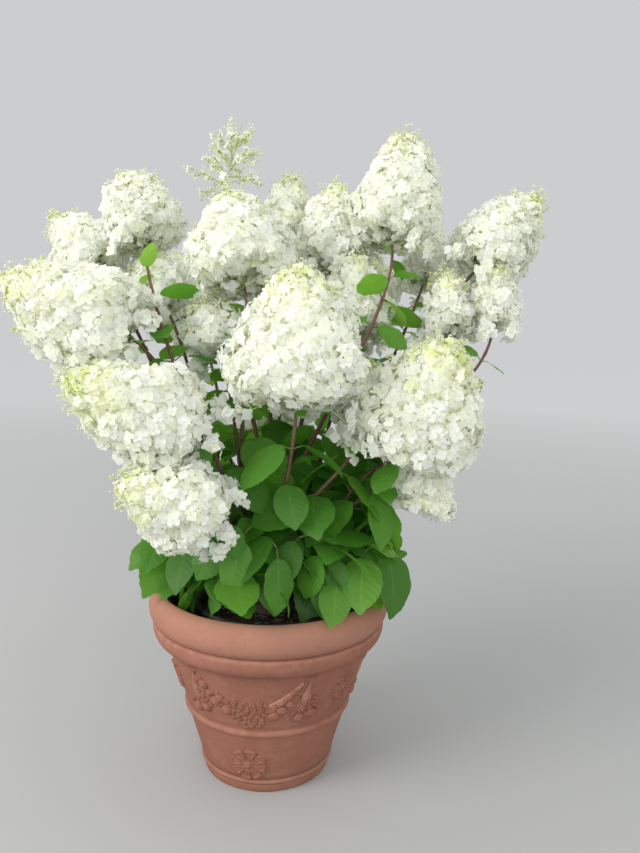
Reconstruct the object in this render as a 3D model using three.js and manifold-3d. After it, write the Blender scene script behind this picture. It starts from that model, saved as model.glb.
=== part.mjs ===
// A panicle hydrangea in a festooned terracotta planter. Millimetres, +Z up. The origin is the
// middle of the planter's flat underside, and the side with the lowest swag faces -Y.
//
// The planter is a lathed wall with relief. A nursery pot of compost stands inside it on a bed,
// and the shrub stands on that compost: a woody stool, canes that rise from it, and on each cane
// a spray, which is one stem that forks into shoots with leaves. Each shoot ends under a panicle.
// Pieces that meet keep a gap of SEAT between their faces.

import * as THREE from "three";
import { ConvexGeometry } from "three/addons/geometries/ConvexGeometry.js";
import { mergeVertices } from "three/addons/utils/BufferGeometryUtils.js";
import Module from "manifold-3d";

const wasm = await Module();
wasm.setup();

const SEAT = 0.3;
const UP = new THREE.Vector3(0, 0, 1);
const ACROSS = new THREE.Vector3(0, 1, 0);

// Planter
const RIM_RADIUS = 300;
const LIP_RADIUS = 264;
const POT_HEIGHT = 470;
const FOOT_RADIUS = 160;
const WAIST_RADIUS = 203;
const WAIST_HEIGHT = 168;
const SHOULDER_RADIUS = 258;
const SHOULDER_HEIGHT = 345;
const WALL = 22;
const FLOOR = 25;
const INNER_TOP_RADIUS = 252;
const INNER_TOP_HEIGHT = 410;
const MOULDING_DEPTH = 31;
const BEAD_DEPTH = 8;
const POT_SIDES = 32;

// Relief on the planter's wall: swags hung between two drops, a rosette under each swag and one
// between it and the next
const REPEATS = 3;
const FIRST_SWAG = -100.5;
const FIRST_LOW_ROSETTE = -104;
const SWAG_HALF_ANGLE = 33.5;
const SWAG_END_HEIGHT = 318;
const SWAG_SAG = 84;
const SWAG_HALF_HEIGHT = 37;
const DROP_LENGTH = 112;
const DROP_HALF_ANGLE = 6;
const ROSETTE_RADIUS = 45;
const LOW_ROSETTE_HEIGHT = 84;
const HIGH_ROSETTE_HEIGHT = 268;
const RELIEF_DEPTH = 11;
const ROSETTE_DEPTH = 17.6;
const ROSETTE_SIDES = 8;

// Nursery pot, compost and the bed under it
const BED_TOP = 140;
const LINER_TOP = 435;
const LINER_TOP_RADIUS = 178;
const LINER_FOOT_RADIUS = 148;
const LINER_LIP = 8;
const LINER_LIP_HEIGHT = 14;
const LINER_WALL = 4;
const COMPOST_TOP = 412;
const COMPOST_ROOM = 0.5;

// Woody stool and canes
const STOOL_RADIUS = 52;
const STOOL_FLARE = 66;
const STOOL_HEIGHT = 62;
const STOOL_DOME = 37.44;
const STOOL_SIDES = 10;
const ROOT_RADIUS = 30;
const CANE_RADIUS = 8.5;
const FORK_RADIUS = 6;
const TWIG_RADIUS = 5;
const TWIG_TIP_RADIUS = 2.4;
const HEAD_RADIUS = 3.2;

// How steeply a cane leaves the stool and reaches its fork, and how far the curves of canes and
// shoots hold those directions, as shares of the distance between their ends
const ROOT_STEEPNESS = 50;
const FORK_STEEPNESS = 68;
const CANE_HOLD = 0.35;
const FORK_HOLD = 0.36;
const HEAD_HOLD = 0.26;

// Leaves: how long they are low on a shoot, between, and just under its panicle
const LOW_ZONE_TOP = 800;
const HIGH_ZONE = 190;
const LEAF_LENGTH = { low: 138, middle: 112, high: 84 };
const LEAF_DROOP = { low: 0.85, middle: 0.35, high: 0.3 };
const LEAF_WIDTH = 0.7;
const LEAF_BROADEST = 0.42;
const LEAF_THICK = 0.024;
const EDGE_LIFT = 0.03;
const LEAF_LEAN = 0.35;
const INTERNODE = 112;
const SIDE_TWIG_TURNS = [-34, 4, 36];
const SIDE_TWIG_REACH = 130;
const SIDE_TWIG_RISE = 12;
const LEAF_ROOM = 1.2;
const SHOOT_ROOM = 4;

// Panicles: a core within the florets' outline, and blunt florets that stand out of it
const CORE_SHARE = 0.86;
const CORE_LENGTH = 0.95;
const CORE_SIDES = 7;
const CORE_ROOM = 1.03;
const FLORETS = 6;
const FLORET_SIZE = 0.055;
const FLORET_THICK = 0.3;
const FLORET_INSET = 0.024;
const TIP_INSET = 0.11;
const FLORET_ROOM = 1.06;
const LACY_BRANCHES = 10;
const BUD_RADIUS = 9;
const TIP_BUD_RADIUS = 8;
const GOLDEN_ANGLE = Math.PI * (3 - Math.sqrt(5));

// Each cane: where its tip forks (azimuth in degrees, radius and height), and its shoots. A shoot
// has its head, the point under its panicle, the panicle's azimuth and elevation in degrees, its
// length and width, and how leafy the shoot is between its foot and its top, from 0 to 1.
const CANES = [
  {
    name: "left_outer",
    fork: [-168, 105, 560],
    shoots: [
      { name: "left_outer", head: [-330, -125, 1085], aim: [-160, 25], size: [285, 262], leafy: 0.25 },
      { name: "left_upper", head: [-425, 60, 1240], aim: [148, 44], size: [200, 170], leafy: 0.3 },
    ],
  },
  {
    name: "left_front",
    fork: [-128, 120, 545],
    shoots: [
      { name: "left_middle", head: [-168, -225, 882], aim: [-155, 25], size: [305, 228], leafy: 0.5 },
      { name: "left_lower", head: [-88, -275, 702], aim: [-157, 24], size: [260, 205], leafy: 0.9 },
    ],
  },
  {
    name: "left_back",
    fork: [160, 75, 575],
    shoots: [
      { name: "upper_left", head: [-320, 70, 1305], aim: [115, 58], size: [225, 205], leafy: 0.35 },
      { name: "left_inner", head: [-258, 40, 1145], aim: [150, 62], size: [165, 150], leafy: 0.3 },
    ],
  },
  {
    name: "centre_left",
    fork: [-150, 40, 600],
    shoots: [
      { name: "centre_left", head: [-70, -40, 1205], aim: [112, 66], size: [255, 272], leafy: 0.5 },
      { name: "small_left", head: [-125, -50, 1050], aim: [150, 66], size: [150, 150], leafy: 0.35 },
    ],
  },
  {
    name: "front_centre",
    fork: [-84, 115, 570],
    shoots: [
      { name: "front_centre", head: [50, -265, 955], aim: [70, 86], size: [300, 295], leafy: 1 },
      { name: "front_inner", head: [205, -150, 880], aim: [40, 72], size: [170, 160], leafy: 0.9 },
    ],
  },
  {
    name: "right_front",
    fork: [-38, 125, 560],
    shoots: [
      { name: "right_front", head: [300, -190, 850], aim: [-55, 64], size: [285, 285], leafy: 1 },
      { name: "right_low", head: [305, -140, 800], aim: [-32, -38], size: [165, 140], leafy: 0.9 },
    ],
  },
  {
    name: "right",
    fork: [2, 100, 580],
    shoots: [
      { name: "right_middle", head: [365, 10, 985], aim: [40, 66], size: [170, 160], leafy: 0.8 },
      { name: "inner_right", head: [205, 20, 1095], aim: [100, 75], size: [225, 182], leafy: 0.7 },
      { name: "right_between", head: [428, -15, 1115], aim: [110, 78], size: [155, 128], leafy: 0.6 },
    ],
  },
  {
    name: "right_outer",
    fork: [22, 120, 570],
    shoots: [
      { name: "right_outer", head: [500, 60, 1266], aim: [18, 48], size: [272, 205], leafy: 0.6 },
      { name: "right_under", head: [535, -5, 1125], aim: [70, 82], size: [165, 132], leafy: 0.6 },
      { name: "right_rear", head: [400, 215, 1235], aim: [60, 50], size: [190, 160], leafy: 0.6 },
    ],
  },
  {
    name: "upper_right",
    fork: [62, 52, 620],
    shoots: [
      { name: "upper_centre", head: [288, 60, 1325], aim: [66, 70], size: [312, 236], leafy: 0.8 },
      { name: "upper_inner", head: [142, 130, 1262], aim: [75, 74], size: [240, 200], leafy: 0.6 },
    ],
  },
  {
    name: "top",
    fork: [95, 48, 600],
    shoots: [
      { name: "top_lacy", head: [-142, 150, 1425], aim: [40, 72], size: [222, 185], leafy: 0.5, lacy: true },
      { name: "upper_middle", head: [22, 225, 1330], aim: [70, 72], size: [205, 150], leafy: 0.6 },
    ],
  },
  {
    name: "rear_left",
    fork: [128, 110, 560],
    shoots: [
      { name: "rear_left_low", head: [-300, 240, 850], aim: [150, 28], size: [260, 220], leafy: 0.8 },
      { name: "rear_left_high", head: [-210, 280, 1110], aim: [128, 48], size: [260, 220], leafy: 0.7 },
    ],
  },
  {
    name: "rear",
    fork: [88, 125, 550],
    shoots: [
      { name: "rear_low", head: [10, 300, 770], aim: [95, 25], size: [240, 210], leafy: 0.9 },
      { name: "rear_middle", head: [30, 330, 1050], aim: [88, 46], size: [270, 230], leafy: 0.8 },
    ],
  },
  {
    name: "rear_right",
    fork: [48, 118, 565],
    shoots: [
      { name: "rear_right_low", head: [310, 230, 800], aim: [38, 26], size: [250, 215], leafy: 0.9 },
      { name: "rear_right_high", head: [235, 320, 1120], aim: [62, 50], size: [250, 215], leafy: 0.7 },
    ],
  },
];

// How a panicle's half width runs from its head to its tip, as shares of its length and width.
const ENVELOPE = [
  [0, 0.45],
  [0.1, 0.88],
  [0.3, 1],
  [0.56, 0.9],
  [0.82, 0.58],
  [1, 0.18],
];

function radians(degrees) {
  return (degrees * Math.PI) / 180;
}

// Even numbers from 0 to 1, the same for the same seed.
function seeded(seed) {
  let state = seed >>> 0;
  return () => {
    state = (state + 0x6d2b79f5) >>> 0;
    let t = state;
    t = Math.imul(t ^ (t >>> 15), t | 1);
    t ^= t + Math.imul(t ^ (t >>> 7), t | 61);
    return ((t ^ (t >>> 14)) >>> 0) / 4294967296;
  };
}

function direction(azimuth, elevation) {
  const flat = Math.cos(radians(elevation));
  return new THREE.Vector3(
    flat * Math.cos(radians(azimuth)),
    flat * Math.sin(radians(azimuth)),
    Math.sin(radians(elevation)),
  );
}

function onCircle(azimuth, radius, height) {
  return new THREE.Vector3(
    radius * Math.cos(radians(azimuth)),
    radius * Math.sin(radians(azimuth)),
    height,
  );
}

function toSolid(geometry) {
  const bare = geometry.index ? geometry.toNonIndexed() : geometry.clone();
  bare.deleteAttribute("normal");
  bare.deleteAttribute("uv");
  const merged = mergeVertices(bare, 1e-3);
  return new wasm.Manifold(
    new wasm.Mesh({
      numProp: 3,
      vertProperties: merged.attributes.position.array,
      triVerts: new Uint32Array(merged.index.array),
    }),
  );
}

// The largest body of a solid, so that a loose scrap never stays in a node.
function largestBody(solid) {
  const bodies = solid.decompose();
  return bodies.reduce((best, body) => (body.volume() > best.volume() ? body : best));
}

function toGeometry(solid) {
  const mesh = largestBody(solid).getMesh();
  return new THREE.BufferGeometry()
    .setAttribute("position", new THREE.BufferAttribute(new Float32Array(mesh.vertProperties), 3))
    .setIndex(new THREE.BufferAttribute(mesh.triVerts, 1))
    .toNonIndexed();
}

function addAll(solids) {
  return solids.reduce((joined, solid) => joined.add(solid));
}

function boxesMeet(a, b, margin) {
  return [0, 1, 2].every(
    (i) => a.min[i] - margin < b.max[i] && b.min[i] - margin < a.max[i],
  );
}

function meets(solid, others) {
  const box = solid.boundingBox();
  return others.some(
    (other) =>
      boxesMeet(box, other.boundingBox(), 1) && solid.intersect(other).volume() > 1e-4,
  );
}

function scaledAbout(solid, share, centre) {
  return solid
    .translate(centre.clone().negate().toArray())
    .scale(share)
    .translate(centre.toArray());
}

function centreOf(solid) {
  const { min, max } = solid.boundingBox();
  return new THREE.Vector3(...min).add(new THREE.Vector3(...max)).multiplyScalar(0.5);
}

// A closed cylinder bent along a curve, with a radius for each share of its length.
function limb(curve, radiusAt, sides, steps) {
  const geometry = new THREE.CylinderGeometry(1, 1, 1, sides, steps);
  const frames = curve.computeFrenetFrames(steps, false);
  const position = geometry.attributes.position;
  for (let i = 0; i < position.count; i += 1) {
    const share = 0.5 - position.getY(i);
    const step = Math.round(share * steps);
    const radius = radiusAt(step / steps);
    const point = curve
      .getPoint(step / steps)
      .addScaledVector(frames.normals[step], position.getX(i) * radius)
      .addScaledVector(frames.binormals[step], position.getZ(i) * radius);
    position.setXYZ(i, point.x, point.y, point.z);
  }
  return toSolid(geometry);
}

function taper(from, to) {
  return (share) => from + (to - from) * share;
}

function lathe(profile, sides) {
  const points = profile.map(([radius, height]) => new THREE.Vector2(radius, height));
  return toSolid(new THREE.LatheGeometry(points, sides).rotateX(Math.PI / 2));
}

// The planter's outer wall radius at a height, beads and rim left out.
function wallRadius(height) {
  return height < WAIST_HEIGHT
    ? FOOT_RADIUS + ((WAIST_RADIUS - FOOT_RADIUS) * height) / WAIST_HEIGHT
    : WAIST_RADIUS +
        ((SHOULDER_RADIUS - WAIST_RADIUS) * (height - WAIST_HEIGHT)) /
          (SHOULDER_HEIGHT - WAIST_HEIGHT);
}

function planterWall() {
  const outside = [
    [0, 0],
    [FOOT_RADIUS, 0],
    [FOOT_RADIUS + BEAD_DEPTH, 26],
    [FOOT_RADIUS + 4, 34],
    [WAIST_RADIUS, WAIST_HEIGHT],
    [WAIST_RADIUS + BEAD_DEPTH, WAIST_HEIGHT + 8],
    [WAIST_RADIUS + 5, WAIST_HEIGHT + 18],
    [SHOULDER_RADIUS, SHOULDER_HEIGHT],
    [SHOULDER_RADIUS + 18, SHOULDER_HEIGHT + 6],
    [SHOULDER_RADIUS + MOULDING_DEPTH, SHOULDER_HEIGHT + 32],
    [SHOULDER_RADIUS + MOULDING_DEPTH, SHOULDER_HEIGHT + 48],
    [RIM_RADIUS, SHOULDER_HEIGHT + 64],
    [RIM_RADIUS, POT_HEIGHT - 32],
    [RIM_RADIUS - 6, POT_HEIGHT - 10],
    [RIM_RADIUS - 20, POT_HEIGHT],
    [LIP_RADIUS, POT_HEIGHT],
  ];
  const inside = [
    [INNER_TOP_RADIUS, INNER_TOP_HEIGHT],
    [wallRadius(FLOOR) - WALL, FLOOR],
    [0, FLOOR],
  ];
  return lathe([...outside, ...inside], POT_SIDES);
}

function onWall(azimuth, height, out) {
  return onCircle(azimuth, wallRadius(height) + out, height);
}

// A closed cylinder whose sections are laid on the wall: at a share of its length from 0 to 1,
// out is -1 to 1 through the wall and side is -1 to 1 across the section.
function layOnWall(sides, steps, place) {
  const geometry = new THREE.CylinderGeometry(1, 1, 1, sides, steps);
  const position = geometry.attributes.position;
  for (let i = 0; i < position.count; i += 1) {
    const point = place(0.5 - position.getY(i), position.getX(i), position.getZ(i));
    position.setXYZ(i, point.x, point.y, point.z);
  }
  return toSolid(geometry);
}

// A swag of fruit and flowers, fullest at its lowest point.
function swag(azimuth) {
  return layOnWall(6, 6, (share, out, side) => {
    const along = 1 - 2 * share;
    const fullness = 0.2 + 0.8 * Math.cos((Math.PI * along) / 2);
    const height = SWAG_END_HEIGHT - SWAG_SAG * (1 - along * along);
    return onWall(
      azimuth + along * SWAG_HALF_ANGLE,
      height + side * SWAG_HALF_HEIGHT * fullness,
      out * RELIEF_DEPTH * (0.4 + 0.6 * fullness),
    );
  });
}

// What hangs from a swag's tie: ears that end in round fruit, widest near its foot.
function drop(azimuth) {
  return layOnWall(5, 3, (share, out, side) => {
    const fullness = 0.25 + 0.75 * Math.sin(Math.PI * share * 0.8);
    return onWall(
      azimuth - side * DROP_HALF_ANGLE * fullness,
      SWAG_END_HEIGHT + 12 - share * DROP_LENGTH,
      out * RELIEF_DEPTH * fullness,
    );
  });
}

// A round flower in low relief, square to the sloping wall, its edge sunk in it.
function rosette(azimuth, height) {
  const slope = Math.atan(wallRadius(height + 1) - wallRadius(height));
  const facing = new THREE.Matrix4()
    .makeRotationZ(radians(azimuth - 90))
    .setPosition(onWall(azimuth, height, 0));
  return toSolid(
    new THREE.CylinderGeometry(ROSETTE_RADIUS / 2, ROSETTE_RADIUS, ROSETTE_DEPTH, ROSETTE_SIDES)
      .rotateX(-slope)
      .applyMatrix4(facing),
  );
}

function planter() {
  const relief = [];
  for (let k = 0; k < REPEATS; k += 1) {
    const turn = (360 / REPEATS) * k;
    const middle = FIRST_SWAG + turn;
    relief.push(swag(middle));
    relief.push(drop(middle - SWAG_HALF_ANGLE), drop(middle + SWAG_HALF_ANGLE));
    relief.push(rosette(FIRST_LOW_ROSETTE + turn, LOW_ROSETTE_HEIGHT));
    relief.push(rosette(middle + 180 / REPEATS, HIGH_ROSETTE_HEIGHT));
  }
  return addAll([planterWall(), ...relief]);
}

// The planter's inner wall radius at a height.
function innerRadius(height) {
  const low = wallRadius(FLOOR) - WALL;
  return low + ((INNER_TOP_RADIUS - low) * (height - FLOOR)) / (INNER_TOP_HEIGHT - FLOOR);
}

function bed() {
  const gap = SEAT * 2;
  const facet = 1 / Math.cos(Math.PI / POT_SIDES);
  const low = FLOOR + SEAT;
  return lathe(
    [
      [0, low],
      [innerRadius(low) - gap * facet, low],
      [innerRadius(BED_TOP) - gap * facet, BED_TOP],
      [0, BED_TOP],
    ],
    POT_SIDES,
  );
}

// The nursery pot's outer radius at a height.
function linerRadius(height) {
  const share = (height - BED_TOP) / (LINER_TOP - BED_TOP);
  return LINER_FOOT_RADIUS + (LINER_TOP_RADIUS - LINER_FOOT_RADIUS) * share;
}

function liner() {
  const foot = BED_TOP + SEAT;
  return lathe(
    [
      [0, foot],
      [LINER_FOOT_RADIUS, foot],
      [linerRadius(LINER_TOP - LINER_LIP_HEIGHT - 2), LINER_TOP - LINER_LIP_HEIGHT - 2],
      [LINER_TOP_RADIUS + LINER_LIP, LINER_TOP - LINER_LIP_HEIGHT],
      [LINER_TOP_RADIUS + LINER_LIP, LINER_TOP],
      [LINER_TOP_RADIUS - LINER_WALL, LINER_TOP],
      [LINER_FOOT_RADIUS - LINER_WALL, foot + LINER_WALL],
      [0, foot + LINER_WALL],
    ],
    POT_SIDES,
  );
}

function compost() {
  const low = BED_TOP + LINER_WALL + SEAT * 2;
  const inset = LINER_WALL + SEAT * 3 + COMPOST_ROOM;
  return lathe(
    [
      [0, low],
      [linerRadius(low) - inset, low],
      [linerRadius(COMPOST_TOP) - inset, COMPOST_TOP],
      [0, COMPOST_TOP],
    ],
    POT_SIDES,
  );
}

// The stool: a flat cut on the compost, a flared foot, and a domed top that the canes leave from.
function stoolSolid(growth) {
  const foot = COMPOST_TOP + SEAT - growth;
  const middle = COMPOST_TOP + STOOL_HEIGHT - STOOL_DOME;
  const dome = [66, 42, 20].map((polar) => [
    (STOOL_RADIUS + growth) * Math.sin(radians(polar)),
    middle + (STOOL_DOME + growth) * Math.cos(radians(polar)),
  ]);
  return lathe(
    [
      [0, foot],
      [STOOL_FLARE + growth, foot],
      [STOOL_RADIUS + growth, middle],
      ...dome,
      [0, middle + STOOL_DOME + growth],
    ],
    STOOL_SIDES,
  );
}

function caneCurve(cane) {
  const [azimuth, radius, height] = cane.fork;
  const tip = onCircle(azimuth, radius, height);
  const rootRadius = Math.min(ROOT_RADIUS, radius * 0.45);
  const root = onCircle(azimuth, rootRadius, COMPOST_TOP + STOOL_HEIGHT * 0.4);
  const hold = tip.distanceTo(root) * CANE_HOLD;
  return new THREE.CubicBezierCurve3(
    root,
    root.clone().addScaledVector(direction(azimuth, ROOT_STEEPNESS), hold),
    tip.clone().addScaledVector(direction(azimuth, FORK_STEEPNESS), -hold),
    tip,
  );
}

// The way a shoot takes from the tip of its cane to its head.
function shootCurve(cane, shoot) {
  const [azimuth, radius, height] = cane.fork;
  const leave = direction(azimuth, FORK_STEEPNESS);
  const start = onCircle(azimuth, radius, height).addScaledVector(leave, SEAT);
  const head = new THREE.Vector3(...shoot.head);
  const arrive = direction(...shoot.aim);
  const reach = head.distanceTo(start);
  return new THREE.CubicBezierCurve3(
    start,
    start.clone().addScaledVector(leave, reach * FORK_HOLD),
    head.clone().addScaledVector(arrive, -reach * HEAD_HOLD),
    head,
  );
}

// Points along a curve with the length up to each, for walking it by length.
function walk(curve) {
  const steps = 32;
  const stations = [{ at: 0, share: 0, point: curve.getPoint(0) }];
  for (let i = 1; i <= steps; i += 1) {
    const point = curve.getPoint(i / steps);
    const last = stations[i - 1];
    stations.push({ at: last.at + point.distanceTo(last.point), share: i / steps, point });
  }
  return stations;
}

function shareAt(stations, length) {
  const i = Math.max(1, stations.findIndex((station) => station.at >= length));
  const [a, b] = [stations[i - 1], stations[i]];
  return a.share + ((b.share - a.share) * (length - a.at)) / (b.at - a.at);
}

// One leaf: where its stalk leaves the shoot's axis, the way it points, its upward side and length.
function leafAt(point, tangent, turn, length, droop, roll) {
  const side = new THREE.Vector3().crossVectors(tangent, ACROSS).normalize();
  const other = new THREE.Vector3().crossVectors(side, tangent).normalize();
  const out = side.multiplyScalar(Math.cos(turn)).addScaledVector(other, Math.sin(turn));
  const along = out.addScaledVector(tangent, LEAF_LEAN).addScaledVector(UP, -droop).normalize();
  const square = UP.clone().addScaledVector(along, -along.z).normalize();
  return { point: point.clone(), along, upward: square.applyAxisAngle(along, roll), length };
}

// The leaves of a shoot: opposite pairs, each pair turned a quarter from the last. They are largest
// low down, few between where the shoot is bare, and small under the panicle.
function leavesOnShoot(cane, shoot, seed) {
  const random = seeded(seed);
  const curve = shootCurve(cane, shoot);
  const stations = walk(curve);
  const total = stations[stations.length - 1].at;
  const leaves = [];
  const firstTurn = random() * Math.PI;
  let length = 18 + 30 * random();
  for (let k = 0; length < total - 16; k += 1) {
    const share = shareAt(stations, length);
    const point = curve.getPoint(share);
    const tangent = curve.getTangent(share);
    const above = total - length < HIGH_ZONE ? "high" : "middle";
    const zone = point.z < LOW_ZONE_TOP ? "low" : above;
    const grows = random() < (zone === "middle" ? shoot.leafy : 1);
    for (let pair = 0; pair < 2; pair += 1) {
      const turn = firstTurn + (k * Math.PI) / 2 + pair * Math.PI + (random() - 0.5) * 0.5;
      const size = LEAF_LENGTH[zone] * (0.78 + 0.4 * random());
      const droop = LEAF_DROOP[zone] * (0.55 + 0.9 * random());
      const roll = (random() - 0.5) * 0.9;
      if (grows) leaves.push(leafAt(point, tangent, turn, size, droop, roll));
    }
    length += INTERNODE * (0.8 + 0.4 * random());
  }
  return leaves;
}

// Short leafy side twigs low on each spray. Their leaves hang over the planter's rim.
function sideTwigs(cane, seed) {
  const random = seeded(seed);
  const [azimuth, radius, height] = cane.fork;
  const leave = direction(azimuth, FORK_STEEPNESS);
  return SIDE_TWIG_TURNS.map((away) => {
    const start = onCircle(azimuth, radius, height).addScaledVector(leave, 12 + 50 * random());
    const turn = azimuth + away + 20 * (random() - 0.5);
    const reach = SIDE_TWIG_REACH * (0.75 + 0.5 * random());
    const end = start.clone().addScaledVector(direction(turn, 2 + 26 * random()), reach);
    const middle = start.clone().lerp(end, 0.5).addScaledVector(UP, SIDE_TWIG_RISE);
    const curve = new THREE.QuadraticBezierCurve3(start, middle, end);
    const leaves = [0.55, 0.97].flatMap((share, k) =>
      [0, Math.PI].map((half) => {
        const spin = half + k * 1.3 + (random() - 0.5) * 0.4;
        const size = LEAF_LENGTH.low * (0.85 + 0.3 * random());
        const droop = 0.5 + 0.7 * random();
        return leafAt(curve.getPoint(share), curve.getTangent(share), spin, size, droop, 0);
      }),
    );
    return { curve, leaves };
  });
}

// A leaf as a thin keeled blade, broadest below its middle, with its root on the twig's axis.
function leafSolid(leaf, margin = 0) {
  const across = new THREE.Vector3().crossVectors(leaf.along, leaf.upward);
  const corner = (along, side, up) =>
    leaf.point
      .clone()
      .addScaledVector(leaf.along, along)
      .addScaledVector(across, side)
      .addScaledVector(leaf.upward, up);
  const broadest = leaf.length * LEAF_BROADEST;
  const halfWide = (leaf.length * LEAF_WIDTH) / 2 + margin;
  const lift = leaf.length * EDGE_LIFT + margin;
  return toSolid(
    new ConvexGeometry([
      corner(0, 0, 0),
      corner(leaf.length + margin, 0, 0),
      corner(broadest, halfWide, lift),
      corner(broadest, -halfWide, lift),
      corner(broadest, 0, lift - leaf.length * LEAF_THICK - margin * 2),
    ]),
  );
}

function envelopeAt(share) {
  const i = Math.max(1, ENVELOPE.findIndex(([along]) => along >= share));
  const [[a, low], [b, high]] = [ENVELOPE[i - 1], ENVELOPE[i]];
  return low + ((high - low) * (share - a)) / (b - a);
}

// How far a panicle bulges at an angle round its axis: its side branches stand out as lobes.
function lobes(share, turn, seed) {
  const fade = Math.sin(Math.PI * Math.min(1, share * 1.15));
  const three = 0.07 * Math.cos(3 * turn + seed * 1.7 + share * 4);
  const five = 0.05 * Math.cos(5 * turn - seed + share * 9);
  return 1 + fade * (three + five);
}

// A frame at a shoot's head whose z axis runs along its panicle.
function headFrame(shoot) {
  const aim = direction(...shoot.aim);
  const turn = new THREE.Quaternion().setFromUnitVectors(UP, aim);
  const head = new THREE.Vector3(...shoot.head).addScaledVector(aim, SEAT);
  return { head, turn };
}

function panicleCore(shoot, seed) {
  const [length, width] = shoot.size;
  const { head, turn } = headFrame(shoot);
  const shares = ENVELOPE.map(([share]) => share).filter((share) => share > 0 && share < 1);
  const points = [
    new THREE.Vector2(0, 0),
    new THREE.Vector2(HEAD_RADIUS, 0),
    ...shares.map(
      (share) => new THREE.Vector2((envelopeAt(share) * width) / 2, share * length * CORE_LENGTH),
    ),
    new THREE.Vector2(0, length * CORE_LENGTH),
  ];
  const geometry = new THREE.LatheGeometry(points, CORE_SIDES).rotateX(Math.PI / 2);
  const position = geometry.attributes.position;
  for (let i = 0; i < position.count; i += 1) {
    const [x, y, z] = [position.getX(i), position.getY(i), position.getZ(i)];
    const swell = z > 1 ? CORE_SHARE * lobes(z / length, Math.atan2(y, x), seed) : 1;
    position.setXYZ(i, x * swell, y * swell, z);
  }
  return toSolid(geometry.applyQuaternion(turn).translate(head.x, head.y, head.z));
}

// Blunt florets that stand out of a panicle's core, spread evenly round it and one at its tip.
function panicleFlorets(shoot, seed) {
  const [length, width] = shoot.size;
  const { head, turn } = headFrame(shoot);
  const size = length + width;
  return Array.from({ length: FLORETS }, (_, i) => {
    const atTip = i === FLORETS - 1;
    const share = atTip ? 1 : 0.07 + 0.86 * (i / (FLORETS - 2));
    const spin = i * GOLDEN_ANGLE + seed;
    const radius = (envelopeAt(share) * width * lobes(share, spin, seed)) / 2;
    const from = Math.max(0, radius - size * (atTip ? TIP_INSET / 2 : FLORET_INSET / 2));
    const centre = onCircle(
      THREE.MathUtils.radToDeg(spin),
      from,
      share * length - (atTip ? (size * TIP_INSET) / 2 : 0),
    );
    const out = new THREE.Vector3(Math.cos(spin), Math.sin(spin), (share - 0.35) * 1.6).normalize();
    const lay = new THREE.Quaternion().setFromUnitVectors(UP, atTip ? ACROSS : out);
    const floret = new THREE.OctahedronGeometry(size * FLORET_SIZE)
      .rotateZ(seed + i)
      .scale(1, 1, FLORET_THICK)
      .applyQuaternion(lay)
      .translate(centre.x, centre.y, centre.z)
      .applyQuaternion(turn)
      .translate(head.x, head.y, head.z);
    return toSolid(floret);
  });
}

// An open panicle of buds: a stalk with side twigs, each with a bud at its end.
function lacyPanicle(shoot, seed) {
  const random = seeded(seed);
  const [length, width] = shoot.size;
  const { head, turn } = headFrame(shoot);
  const inSpace = (x, y, z) => new THREE.Vector3(x, y, z).applyQuaternion(turn).add(head);
  const twig = (from, to, radiusAt, sides) => limb(new THREE.LineCurve3(from, to), radiusAt, sides, 1);
  const bud = (point, size) =>
    toSolid(new THREE.OctahedronGeometry(size).translate(point.x, point.y, point.z));
  const pieces = [
    twig(inSpace(0, 0, 0), inSpace(0, 0, length - 6), taper(HEAD_RADIUS, 1.6), 5),
    bud(inSpace(0, 0, length - TIP_BUD_RADIUS), TIP_BUD_RADIUS),
  ];
  for (let i = 0; i < LACY_BRANCHES; i += 1) {
    const share = 0.12 + (0.78 * i) / LACY_BRANCHES;
    const spin = i * GOLDEN_ANGLE;
    const radius = (envelopeAt(share) * width * (0.86 + 0.2 * random())) / 2 - 7;
    const foot = inSpace(0, 0, share * length * 0.72);
    const end = inSpace(Math.cos(spin) * radius, Math.sin(spin) * radius, share * length);
    pieces.push(twig(foot, end, taper(2.2, 1.7), 3));
    pieces.push(bud(end, BUD_RADIUS));
  }
  return addAll(pieces);
}

function paint(colour, roughness) {
  return new THREE.MeshStandardMaterial({ color: colour, roughness, metalness: 0 });
}

const PAINTS = {
  terracotta: paint("#b5755a", 0.85),
  liner: paint("#15171a", 0.45),
  bed: paint("#3a2a20", 0.95),
  compost: paint("#2c2018", 0.95),
  bark: paint("#5a3f30", 0.8),
  foliage: paint("#2f7a22", 0.5),
  petals: paint("#f4f5e6", 0.6),
};

const shrub = new THREE.Group();
const placed = new Map();

function place(name, solid, material) {
  placed.set(name, solid);
  const mesh = new THREE.Mesh(toGeometry(solid), material);
  mesh.name = name;
  shrub.add(mesh);
}

place("planter", planter(), PAINTS.terracotta);
place("planter_bed", bed(), PAINTS.bed);
place("nursery_pot", liner(), PAINTS.liner);
place("compost", compost(), PAINTS.compost);
place("woody_stool", stoolSolid(0), PAINTS.bark);

const clearOfStool = stoolSolid(SEAT);
for (const cane of CANES) {
  const solid = limb(caneCurve(cane), taper(CANE_RADIUS, FORK_RADIUS), 6, 4);
  place("cane_" + cane.name, largestBody(solid.subtract(clearOfStool)), PAINTS.bark);
}

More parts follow.
